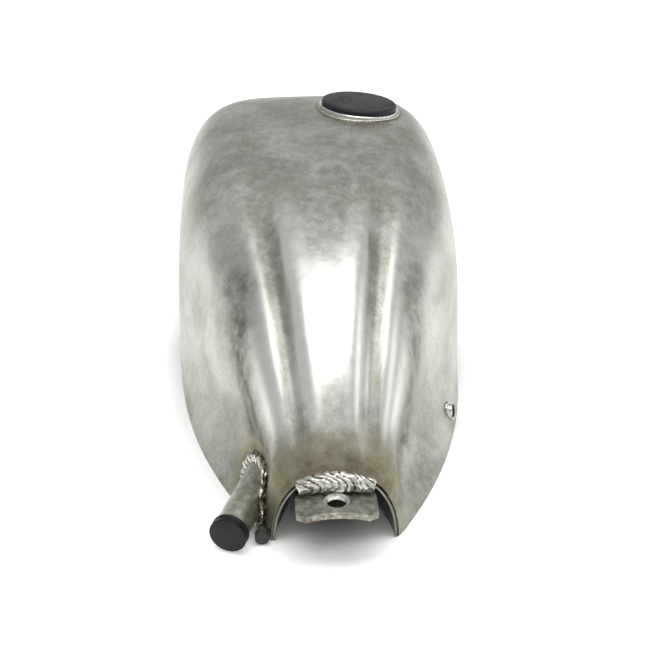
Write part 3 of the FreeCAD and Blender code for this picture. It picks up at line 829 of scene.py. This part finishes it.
@dataclass
class WeldedSkin:
    """Side pressings, centre strip and ground seams, laid over the frame's surfaces as one even net.

    The net keeps the steel's reflections running unbroken over the seams, as grinding does.
    """

    nodes: tuple[str, ...] = ("left_shell", "right_shell", "centre_strip", "strip_seam", "nose_seam")
    columns: int = 240
    mouth_rows: int = 220
    nose_rows: int = 70
    nose_length: float = 200 * MM
    wall: float = 1.5 * MM
    arch_power: float = 3.2
    reach: float = 0.6
    closest: float = 20 * MM
    steepest: float = 0.04
    bore_depth: float = 120 * MM
    hole_margin: int = 2
    relax_steps: int = 400
    easing_steps: int = 3
    mouth_gap: float = 0.05 * MM
    arch_gap: float = 0.3 * MM
    half_turn: float = 89.97
    row_crowding: float = 1.15
    bend_span: int = 7
    dent_depth: float = 0.22 * MM
    dent_mm: float = 62.0
    dent_seed: float = 3.1
    ripple_depth: float = 0.05 * MM
    ripple_mm: float = 15.0
    ripple_seed: float = 8.7
    marks: tuple[PressMark, ...] = (PressMark((45, 9, 24), 1.3, 4.2),
                                    PressMark((37, 10, 33), 1.1, 2.0, 0.45))
    detail_fade: float = 6 * MM
    rough_cut_mm: float = 6.0
    rough_cut_depth: float = 1.2 * MM
    rough_cut_side: tuple[float, float] = (24 * MM, 34 * MM)
    rough_cut_reach: float = 8 * MM
    mouth_y: float = field(init=False)
    nose_y: float = field(init=False)
    points: np.ndarray = field(init=False)
    owner: np.ndarray = field(init=False)

    def __post_init__(self) -> None:
        """Reads the skin's ends from the frame."""
        low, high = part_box("left_shell")
        self.mouth_y, self.nose_y = low.y, high.y

    def arch_radius(self, turn: float) -> float:
        """Measures the tunnel's outline.

        Args:
            turn: direction from its middle, in radians from upright.

        Returns:
            The outline's distance from its middle.
        """
        half_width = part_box("right_floor")[0].x
        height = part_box("tunnel")[1].z
        share = (abs(math.sin(turn)) / half_width) ** self.arch_power
        share += (abs(math.cos(turn)) / height) ** self.arch_power
        return share ** (-1 / self.arch_power)

    def rays(self) -> tuple[np.ndarray, np.ndarray]:
        """Lays out where the net looks at the surface from.

        Returns:
            Centres and directions, each as rows by columns by three.
        """
        count = self.mouth_rows + self.nose_rows + 1
        centres = np.zeros((count, self.columns + 1, 3))
        ways = np.zeros_like(centres)
        turn_y = self.nose_y - self.nose_length
        for i in range(self.columns + 1):
            turn = math.radians(self.half_turn * (2 * i / self.columns - 1))
            lean_end = math.atan2(self.nose_length, self.arch_radius(turn) + self.arch_gap)
            for j in range(count):
                share = min(1.0, j / self.mouth_rows)
                y = self.mouth_y + self.mouth_gap + (turn_y - self.mouth_y) * share ** self.row_crowding
                lean = lean_end * max(0.0, (j - self.mouth_rows) / self.nose_rows)
                centres[j, i] = (0, min(y, turn_y), 0)
                level = math.cos(lean)
                ways[j, i] = (math.sin(turn) * level, math.sin(lean), math.cos(turn) * level)
        return centres, ways

    def surface(self) -> tuple[BVHTree, list[int]]:
        """Returns a search tree over the skin's nodes, and each triangle's node number."""
        corners, faces, owners = [], [], []
        for number, node in enumerate(self.nodes):
            mesh = frame["nodes"][node].data
            start = len(corners)
            corners.extend(v.co.copy() for v in mesh.vertices)
            for polygon in mesh.polygons:
                faces.append([start + k for k in polygon.vertices])
                owners.append(number)
        return BVHTree.FromPolygons(corners, faces), owners

    def lay(self) -> None:
        """Drops the net onto the surface, bridges the fittings' holes and eases out the facets."""
        centres, ways = self.rays()
        tree, owners = self.surface()
        rows, columns = centres.shape[:2]
        radius = np.full((rows, columns), np.nan)
        owner = np.zeros((rows, columns), int)
        for j in range(rows):
            for i in range(columns):
                way = Vector(ways[j, i])
                start = Vector(centres[j, i]) + way * self.reach
                place, normal, face, distance = tree.ray_cast(start, -way, self.reach - self.closest)
                if place is not None and normal.dot(way) > self.steepest:
                    radius[j, i] = self.reach - distance
                    owner[j, i] = owners[face]
        missing = np.isnan(radius)
        log.info("net of %d by %d, %d points over holes", rows, columns, int(missing.sum()))
        radius, owner = self.bridge(radius, owner, missing)
        for _ in range(self.easing_steps):
            radius[1:-1] = 0.25 * radius[:-2] + 0.5 * radius[1:-1] + 0.25 * radius[2:]
            radius[:, 1:-1] = 0.25 * radius[:, :-2] + 0.5 * radius[:, 1:-1] + 0.25 * radius[:, 2:]
        self.points = centres + ways * radius[..., None]
        self.points[0, :, 1] = self.mouth_y
        self.points[:, 0, 2] = 0
        self.points[:, -1, 2] = 0
        self.owner = owner

    def bridge(self, radius: np.ndarray, owner: np.ndarray,
               missing: np.ndarray) -> tuple[np.ndarray, np.ndarray]:
        """Fills the net's gaps from their rims, and then relaxes what was filled.

        Args:
            radius: distances, with gaps.
            owner: node numbers.
            missing: where the gaps are.

        Returns:
            Distances and node numbers without gaps.
        """
        hollow = missing.copy()
        for _ in range(self.hole_margin):
            grown = hollow.copy()
            grown[1:] |= hollow[:-1]
            grown[:-1] |= hollow[1:]
            grown[:, 1:] |= hollow[:, :-1]
            grown[:, :-1] |= hollow[:, 1:]
            for edge in ((0, slice(None)), (-1, slice(None)), (slice(None), 0), (slice(None), -1)):
                grown[edge] = missing[edge]
            hollow = grown
        radius[hollow] = np.nan
        todo = hollow.copy()
        while todo.any():
            around = [np.roll(radius, step, axis) for axis in (0, 1) for step in (1, -1)]
            near = np.stack(around)
            known = ~np.isnan(near)
            ready = todo & known.any(0)
            if not ready.any():
                break
            radius[ready] = np.nanmean(np.where(known, near, np.nan)[:, ready], 0)
            owners = np.stack([np.roll(owner, step, axis) for axis in (0, 1) for step in (1, -1)])
            pick = known.argmax(0)
            owner[ready] = np.take_along_axis(owners, pick[None], 0)[0][ready]
            todo &= ~ready
        inner = hollow[1:-1, 1:-1]
        for _ in range(self.relax_steps):
            middle = (radius[:-2, 1:-1] + radius[2:, 1:-1] + radius[1:-1, :-2] + radius[1:-1, 2:]) / 4
            radius[1:-1, 1:-1][inner] = middle[inner]
        return radius, owner

    def press_details(self) -> None:
        """Adds the dents, the pressed spot and the rough-cut edge at the right end of the mouth."""
        rows, columns = self.points.shape[:2]
        along = np.gradient(self.points, axis=0)
        across = np.gradient(self.points, axis=1)
        normal = np.cross(across, along)
        normal /= np.linalg.norm(normal, axis=2, keepdims=True)
        middle = self.points[rows // 2, columns // 2]
        if normal[rows // 2, columns // 2] @ middle < 0:
            normal = -normal
        flat = self.points.reshape(-1, 3)
        lift = self.dent_depth * noise_at(flat, self.dent_mm, self.dent_seed)
        lift += self.ripple_depth * noise_at(flat, self.ripple_mm, self.ripple_seed)
        lift = lift.reshape(rows, columns)
        for mark in self.marks:
            lift -= mark.dip(self.points, self.mouth_y)
        lift *= smooth_share(self.points[..., 1] - self.mouth_y, 0, self.detail_fade)
        lift[:, (0, -1)] = 0
        self.points = self.points + normal * lift[..., None]
        rim = noise_at(self.points[0], self.rough_cut_mm, 0)
        right = smooth_share(self.points[0, :, 0], *self.rough_cut_side)
        cut_back = right * (0.7 + rim) * self.rough_cut_depth
        share = 1 - smooth_share(self.points[..., 1] - self.mouth_y, 0, self.rough_cut_reach)
        self.points[..., 1] += np.clip(cut_back, 0, None)[None] * share

    def hollowness(self) -> np.ndarray:
        """Returns how hollow (positive) or ridged (negative) the net is at each point, in metres."""
        rows, columns = self.points.shape[:2]
        span = self.bend_span
        bend = np.zeros((rows, columns))
        across = self.points[:, 2 * span:] + self.points[:, :-2 * span] - 2 * self.points[:, span:-span]
        tangent = self.points[:, 2 * span:] - self.points[:, :-2 * span]
        outward = np.stack([-tangent[..., 2], np.zeros_like(tangent[..., 0]), tangent[..., 0]], -1)
        outward /= np.linalg.norm(outward, axis=2, keepdims=True) + 1e-12
        bend[:, span:-span] = (across * outward).sum(2)
        return bend

    def build(self, material: bpy.types.Material) -> None:
        """Makes one piece for each of the skin's nodes, with normals that run on across the seams.

        Args:
            material: the skin's finish.
        """
        self.lay()
        self.press_details()
        rows, columns = self.points.shape[:2]
        bm = bmesh.new()
        bmesh.ops.create_grid(bm, x_segments=columns - 1, y_segments=rows - 1, size=1.0)
        hollow = self.hollowness()
        steady = bm.verts.layers.float_vector.new("steady")
        depth = bm.verts.layers.float.new("hollow")
        number = bm.verts.layers.int.new("owner")
        for vertex in bm.verts:
            i = round((vertex.co.x + 1) / 2 * (columns - 1))
            j = round((vertex.co.y + 1) / 2 * (rows - 1))
            vertex.co = self.points[j, i]
            vertex[depth] = hollow[j, i]
            vertex[number] = int(self.owner[j, i])
        self.open_holes(bm)
        bm.normal_update()
        crown = max(bm.faces, key=lambda face: face.calc_center_median().z)
        if crown.normal.z < 0:
            bmesh.ops.reverse_faces(bm, faces=bm.faces)
        bm.normal_update()
        for vertex in bm.verts:
            vertex[steady] = vertex.normal
        for index, node in enumerate(self.nodes):
            self.make_piece(bm, index, node, material)
        bm.free()

    def open_holes(self, bm: bmesh.types.BMesh) -> None:
        """Opens the net where a fitting's bore passes through it.

        Args:
            bm: the whole net.
        """
        holes = (("filler_plug", Body.FILLER_PLUG, 0.94), ("spigot_cap", Body.SPIGOT_CAP, 0.78),
                 ("nipple_cap", Body.NIPPLE_CAP, 0.5), ("drain_plug", Body.DRAIN_PLUG, 0.85))
        for node, body, share in holes:
            axle = Axle.of(node, joint_axis(body))
            doomed = []
            for face in bm.faces:
                away = face.calc_center_median() - axle.end
                depth = away.dot(axle.out)
                if -self.bore_depth < depth and (away - axle.out * depth).length < axle.radius * share:
                    doomed.append(face)
            bmesh.ops.delete(bm, geom=doomed, context="FACES")

    def make_piece(self, whole: bmesh.types.BMesh, index: int, node: str,
                   material: bpy.types.Material) -> None:
        """Cuts one node's share out of the net, gives it its wall and finishes it.

        Args:
            whole: the whole net.
            index: the node's number in the net.
            node: the node's name.
            material: its finish.
        """
        bm = whole.copy()
        number = bm.verts.layers.int["owner"]
        steady = bm.verts.layers.float_vector["steady"]
        depth = bm.verts.layers.float["hollow"]
        others = [f for f in bm.faces if sorted(v[number] for v in f.verts)[1] != index]
        bmesh.ops.delete(bm, geom=others, context="FACES")
        outside = bm.faces.layers.int.new("outside")
        outer = bm.faces[:]
        made = bmesh.ops.extrude_face_region(bm, geom=outer, use_keep_orig=True)["geom"]
        for face in bm.faces:
            face.smooth = True
            face[outside] = 0
        for face in outer:
            face[outside] = 1
        for vertex in (item for item in made if isinstance(item, bmesh.types.BMVert)):
            vertex.co -= vertex[steady] * self.wall
        bmesh.ops.recalc_face_normals(bm, faces=bm.faces)
        normals = []
        for face in bm.faces:
            for loop in face.loops:
                normals.append(loop.vert[steady].normalized() if face[outside] else face.normal.copy())
        hollow = np.array([v[depth] for v in bm.verts])
        mesh = bpy.data.meshes.new(node + "_skin")
        bm.to_mesh(mesh)
        bm.free()
        mesh.normals_split_custom_set(normals)
        for name, values in SkinTone(self.mouth_y).masks(points_of(mesh), hollow).items():
            paint(mesh, name, values)
        finish_piece(mesh, node + "_skin", Body.TANK, material, (node,))


# ---------------------------------------------------------------- welds, plates and tubes


@dataclass
class Bead:
    """A weld bead: an even fine mesh of the node with ripples and lumps raised on it."""

    node: str
    cell_mm: float = 0.6
    pitch_mm: float = 3.4
    ripple_mm: float = 0.45
    lump_mm: float = 0.35
    bow_mm: float = 9.0
    slant: float = 1.2
    ring_slant: float = 0.15
    axle: Axle | None = None

    def phase(self, points: np.ndarray) -> np.ndarray:
        """Works out each point's place along the bead.

        Args:
            points: rows of x, y and z.

        Returns:
            Places in ripples.
        """
        if self.axle is None:
            low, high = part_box(self.node)
            along = points[:, 1] - (low.y + high.y) / 2
            bow = along ** 2 / (self.bow_mm * MM)
            return (points[:, 0] - bow + self.slant * along) / (self.pitch_mm * MM)
        out = np.array(self.axle.out)
        away = points - np.array(self.axle.end)
        side = away - (away @ out)[:, None] * out
        first = np.cross(out, (0, 0, 1.0)) if abs(out[2]) < 0.9 else np.array((1.0, 0, 0))
        first -= (first @ out) * out
        first /= np.linalg.norm(first)
        second = np.cross(out, first)
        angle = np.arctan2(side @ second, side @ first)
        return (angle * self.axle.radius + self.ring_slant * (away @ out)) / (self.pitch_mm * MM)

    def build(self, material: bpy.types.Material) -> None:
        """Makes the bead as a piece.

        Args:
            material: its finish.
        """
        mesh = recast(self.node, self.cell_mm, 3)
        points = points_of(mesh)
        wander = 0.6 * noise_at(points, 9.0, 1.3)
        crest = np.abs(np.sin(math.pi * (self.phase(points) + wander)))
        lumps = noise_at(points, 5.0, 6.1)
        heights = (crest - 0.5) * self.ripple_mm * MM + lumps * self.lump_mm * MM
        raise_surface(mesh, heights)
        paint(mesh, "valley", 1 - smooth_share(crest, 0.1, 0.75))
        finish_piece(mesh, self.node + "_weld", Body.TANK, material, (self.node,))


@dataclass
class RoughCut:
    """A plate or tube with broken edges, slightly uneven from cutting and handling."""

    node: str
    slot: Slot
    cell_mm: float = 0.55
    uneven_mm: float = 0.10
    hole_y: float | None = None
    filed_ring: tuple[float, float] = (8.6 * MM, 9.4 * MM)

    def rust(self, points: np.ndarray, normals: np.ndarray) -> np.ndarray:
        """Works out how rusty the steel is: most on the cut rear edge and its left half.

        Args:
            points: rows of x, y and z.
            normals: the surface's directions there.

        Returns:
            One share per point.
        """
        low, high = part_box(self.node)
        middle = (low.x + high.x) / 2
        edge = smooth_share(-normals[:, 1], 0.3, 0.8)
        left = 1 - 0.8 * smooth_share(points[:, 0], middle - 4 * MM, middle + 10 * MM)
        under = 0.5 * smooth_share(-normals[:, 2], 0.2, 0.8)
        return np.maximum(edge * left, under)

    def build(self, material: bpy.types.Material) -> None:
        """Makes the plate or tube as a piece.

        Args:
            material: its finish.
        """
        mesh = recast(self.node, self.cell_mm, 2)
        points = points_of(mesh)
        raise_surface(mesh, self.uneven_mm * MM * noise_at(points, 5.0, 2.2))
        flat = np.empty(len(mesh.vertices) * 3, np.float32)
        mesh.vertex_normals.foreach_get("vector", flat)
        paint(mesh, "rust", self.rust(points, flat.reshape(-1, 3).astype(float)))
        if self.hole_y is not None:
            from_hole = np.hypot(points[:, 0], points[:, 1] - self.hole_y)
            paint(mesh, "filed", 1 - smooth_share(from_hole, *self.filed_ring))
        finish_piece(mesh, self.node + "_steel", Body.TANK, material, (self.node,))


# ---------------------------------------------------------------- turned rings, plugs and caps


@dataclass
class TurnedRing:
    """A turned steel ring with small chamfers, such as the filler neck or the drain bung."""

    node: str
    plug: Body
    bore_mm: float
    outer_mm: float
    chamfer_mm: float = 0.6
    steps: int = 128

    def build(self, material: bpy.types.Material) -> None:
        """Makes the ring as a piece.

        Args:
            material: its finish.
        """
        axle = Axle.of(self.node, joint_axis(self.plug))
        deep = axle.length / MM
        c = self.chamfer_mm
        profile = [(self.bore_mm, c), (self.bore_mm + c, 0), (self.outer_mm - c, 0), (self.outer_mm, c),
                   (self.outer_mm, deep - c), (self.outer_mm - c, deep), (self.bore_mm + c, deep),
                   (self.bore_mm, deep - c)]
        mesh = turned(profile, axle, self.steps)
        paint(mesh, "bright", np.full(len(mesh.vertices), 0.5))
        finish_piece(mesh, self.node + "_ring", Body.TANK, material, (self.node,))


@dataclass
class PushInPlug:
    """A moulded plug: a softly domed head with a rounded edge over a hollow stem."""

    node: str
    body: Body
    head_mm: float
    stem_mm: float
    wall_mm: float
    web_mm: float
    edge_mm: float
    dome_mm: float
    steps: int = 128

    def build(self, material: bpy.types.Material) -> None:
        """Makes the plug as a piece.

        Args:
            material: its finish.
        """
        axle = Axle.of(self.node, joint_axis(self.body))
        radius, deep = axle.radius / MM, axle.length / MM
        flat = radius - self.edge_mm
        dome = [(flat * share, self.dome_mm * share ** 2) for share in (0, 0.2, 0.4, 0.6, 0.75, 0.88, 0.96)]
        edge = rounded((flat, self.dome_mm + self.edge_mm), self.edge_mm, 90, 0, 7)
        foot = rounded((radius - 0.4, self.head_mm - 0.4), 0.4, 0, -90, 4)
        stem = [(self.stem_mm, self.head_mm), (self.stem_mm, deep - 0.5), (self.stem_mm - 0.5, deep)]
        if self.wall_mm > 0:
            inside = self.stem_mm - self.wall_mm
            stem += [(inside + 0.4, deep), (inside, deep - 0.4), (inside, self.web_mm), (0, self.web_mm)]
        else:
            stem += [(0, deep)]
        mesh = turned(dome + edge + foot + stem, axle, self.steps)
        finish_piece(mesh, self.node + "_moulded", self.body, material, (self.node,))


@dataclass
class PushOnCap:
    """A cup-shaped moulded cap with a softly domed end and a rolled lip."""

    node: str
    body: Body
    slot: Slot
    wall_mm: float
    end_mm: float
    edge_mm: float
    dome_mm: float
    lip_mm: float
    steps: int = 96

    def build(self, material: bpy.types.Material) -> None:
        """Makes the cap as a piece.

        Args:
            material: its finish.
        """
        axle = Axle.of(self.node, joint_axis(self.body))
        radius, deep = axle.radius / MM, axle.length / MM
        flat = radius - self.edge_mm
        dome = [(flat * share, self.dome_mm * share ** 2) for share in (0, 0.25, 0.5, 0.7, 0.85, 0.95)]
        edge = rounded((flat, self.dome_mm + self.edge_mm), self.edge_mm, 90, 0, 7)
        slim = radius - self.lip_mm
        skirt = [(slim, self.dome_mm + self.edge_mm + 0.6), (slim, deep - 2.4), (radius, deep - 1.9)]
        inside = radius - self.wall_mm
        lip = [(radius, deep - 0.3), (radius - 0.3, deep), (inside + 0.2, deep), (inside, deep - 0.2)]
        mesh = turned(dome + edge + skirt + lip + [(inside, self.end_mm), (0, self.end_mm)], axle, self.steps)
        finish_piece(mesh, self.node + "_moulded", self.body, material, (self.node,))


# ---------------------------------------------------------------- studio


@dataclass(frozen=True)
class SoftBox:
    """One rectangular soft box, aimed at the tank's middle."""

    name: str
    place: tuple[float, float, float]
    size: tuple[float, float]
    watts: float

    def hang(self, aim: Vector) -> None:
        """Hangs the box and points it at the aim."""
        light = bpy.data.lights.new(self.name, "AREA")
        light.shape = "RECTANGLE"
        light.size, light.size_y = self.size
        light.energy = self.watts
        lamp = bpy.data.objects.new(self.name, light)
        lamp.location = self.place
        lamp.rotation_euler = (aim - lamp.location).to_track_quat("-Z", "Y").to_euler()
        bpy.context.scene.collection.objects.link(lamp)


@dataclass
class Studio:
    """White paper floor, soft boxes and the camera at the tank's narrow rear end."""

    focal_px: float = 1650.0
    image_px: float = 650.0
    sensor_mm: float = 36.0
    pitch: float = 29.5
    azimuth: float = -2.9
    height: float = 0.7177
    distance: float = 0.9564
    tips_aim_px: float = 10.2
    floor_size: float = 9.0
    surroundings: str = "#f4f6f6"
    surroundings_strength: float = 0.72
    aim: tuple[float, float, float] = (0.0, 0.0, 0.1)
    boxes: tuple[SoftBox, ...] = (SoftBox("overhead", (0.06, -0.22, 1.5), (1.5, 0.62), 13),
                                  SoftBox("right_side", (1.7, -0.1, 0.9), (1.0, 0.8), 3))

    def camera(self) -> None:
        """Places the camera from the middle of the tank's mouth."""
        lens = bpy.data.cameras.new("camera")
        lens.sensor_width = self.sensor_mm
        lens.lens = self.focal_px / self.image_px * self.sensor_mm
        lens.clip_start, lens.clip_end = 0.05, 50
        turn, tilt = math.radians(self.azimuth), math.radians(self.pitch)
        right = Vector((math.cos(turn), math.sin(turn), 0))
        ahead = Vector((-math.sin(turn), math.cos(turn), 0))
        look = ahead * math.cos(tilt) - Vector((0, 0, math.sin(tilt)))
        aside = -self.tips_aim_px / (self.focal_px / math.hypot(self.distance, self.height))
        holder = bpy.data.objects.new("camera", lens)
        tips = Vector((0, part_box("left_shell")[0].y, 0))
        holder.location = tips - ahead * self.distance + right * aside + Vector((0, 0, self.height))
        holder.rotation_euler = look.to_track_quat("-Z", "Y").to_euler()
        bpy.context.scene.collection.objects.link(holder)
        bpy.context.scene.camera = holder

    def floor(self) -> None:
        """Lays the paper floor."""
        bm = bmesh.new()
        bmesh.ops.create_grid(bm, x_segments=8, y_segments=8, size=self.floor_size / 2)
        mesh = bpy.data.meshes.new("paper_floor")
        bm.to_mesh(mesh)
        bm.free()
        mesh.materials.append(StudioPaper("studio_paper").build())
        paper = bpy.data.objects.new("paper_floor", mesh)
        bpy.context.scene.collection.objects.link(paper)

    def lights(self) -> None:
        """Sets the soft boxes and the dim surroundings."""
        for box in self.boxes:
            box.hang(Vector(self.aim))
        world = bpy.data.worlds.new("studio")
        world.use_nodes = True
        back = world.node_tree.nodes["Background"]
        back.inputs["Color"].default_value = linear(self.surroundings)
        back.inputs["Strength"].default_value = self.surroundings_strength
        bpy.context.scene.world = world
        bpy.context.scene.view_settings.view_transform = "Standard"

    def build(self) -> None:
        """Sets up floor, lights and camera."""
        self.floor()
        self.lights()
        self.camera()


# ---------------------------------------------------------------- assembly


@dataclass
class FuelTank:
    """The whole tank, sub-assembly by sub-assembly."""

    def dress_inside(self, steel: bpy.types.Material, weld: bpy.types.Material) -> None:
        """Gives the pieces that keep their CAD shape their finishes.

        Args:
            steel: the inside steel, a darker copy of the sheet steel as painted shade.
            weld: the fillets' weld metal.
        """
        for node in ("tunnel", "left_floor", "right_floor"):
            frame["nodes"][node].data.materials.clear()
            frame["nodes"][node].data.materials.append(steel)
        for node in ("left_skin_fillet", "right_skin_fillet", "left_tunnel_fillet", "right_tunnel_fillet"):
            frame["nodes"][node].data.materials.clear()
            frame["nodes"][node].data.materials.append(weld)

    def build(self) -> None:
        """Builds every piece in order."""
        sheet = RawSheetSteel("planished_sheet_steel").build()
        # painted shade: a darker copy of the sheet steel for the tunnel and floors
        inside = RawSheetSteel("shaded_sheet_steel_inside", clean="#8f8f8a", cloudy="#6f6f69").build()
        weld = WeldMetal("brushed_weld").build()
        small_weld = WeldMetal("small_weld", oxide_share=0.35).build()
        plate = PlateSteel("hot_rolled_plate").build()
        tube = PlateSteel("drawn_tube", rubbed="#babcae", scale="#989a8b", rust_share=0.3).build()
        turned_steel = RawSheetSteel("turned_steel", clean="#d6d6d2", cloudy="#bdbdb8", roughness=0.3).build()
        plastic = SatinPolythene("black_polythene", colour="#15181b").build()
        cap_plastic = SatinPolythene("black_cap_polythene", colour="#060708", scuffed="#15181a").build()
        rubber = SatinPolythene("grey_rubber", colour="#3a3b3a", scuffed="#5a5b59", roughness=0.6).build()
        self.dress_inside(inside, weld)
        WeldedSkin().build(sheet)
        spigot = Axle.of("spigot_cap", joint_axis(Body.SPIGOT_CAP))
        filler = Axle.of("filler_neck", joint_axis(Body.FILLER_PLUG))
        bung = Axle.of("drain_bung", joint_axis(Body.DRAIN_PLUG))
        Bead("rear_tab_bead", ripple_mm=0.7, pitch_mm=6.2, lump_mm=1.0).build(weld)
        Bead("front_tab_bead").build(weld)
        Bead("spigot_bead", lump_mm=1.4, ripple_mm=0.5, axle=spigot).build(weld)
        Bead("filler_neck_bead", cell_mm=0.45, ripple_mm=0.2, lump_mm=0.15, pitch_mm=2.6,
             axle=filler).build(small_weld)
        Bead("drain_bung_bead", cell_mm=0.35, ripple_mm=0.2, lump_mm=0.15, pitch_mm=2.2,
             axle=bung).build(small_weld)
        holes = {mount["name"]: mount["pos_m"][1] for mount in frame["record"]["mounts"]}
        RoughCut("rear_mount_tab", Slot.TAB, hole_y=holes["rear_tab_hole"]).build(plate)
        RoughCut("front_mount_tab", Slot.TAB, hole_y=holes["front_tab_hole"]).build(plate)
        RoughCut("fuel_spigot", Slot.TUBE, cell_mm=0.5, uneven_mm=0.03).build(tube)
        RoughCut("balance_nipple", Slot.TUBE, cell_mm=0.3, uneven_mm=0.02).build(tube)
        TurnedRing("filler_neck", Body.FILLER_PLUG, bore_mm=26.0, outer_mm=33.5).build(turned_steel)
        TurnedRing("drain_bung", Body.DRAIN_PLUG, bore_mm=3.4, outer_mm=5.6, chamfer_mm=0.4,
                   steps=64).build(turned_steel)
        PushInPlug("filler_plug", Body.FILLER_PLUG, head_mm=4.5, stem_mm=25.7, wall_mm=3.0, web_mm=10.0,
                   edge_mm=1.8, dome_mm=0.5).build(plastic)
        PushInPlug("drain_plug", Body.DRAIN_PLUG, head_mm=2.0, stem_mm=3.1, wall_mm=0.0, web_mm=0.0,
                   edge_mm=0.7, dome_mm=0.3, steps=64).build(plastic)
        PushOnCap("spigot_cap", Body.SPIGOT_CAP, Slot.PLASTIC, wall_mm=1.2, end_mm=2.5, edge_mm=1.1,
                  dome_mm=0.5, lip_mm=0.25).build(cap_plastic)
        PushOnCap("nipple_cap", Body.NIPPLE_CAP, Slot.RUBBER, wall_mm=1.5, end_mm=1.5, edge_mm=1.0,
                  dome_mm=0.3, lip_mm=0.2, steps=64).build(rubber)


def main() -> None:
    """Builds the tank and its studio."""
    logging.basicConfig(level=logging.INFO, format="%(name)s %(message)s")
    FuelTank().build()
    Studio().build()


if __name__ == "__main__":
    main()
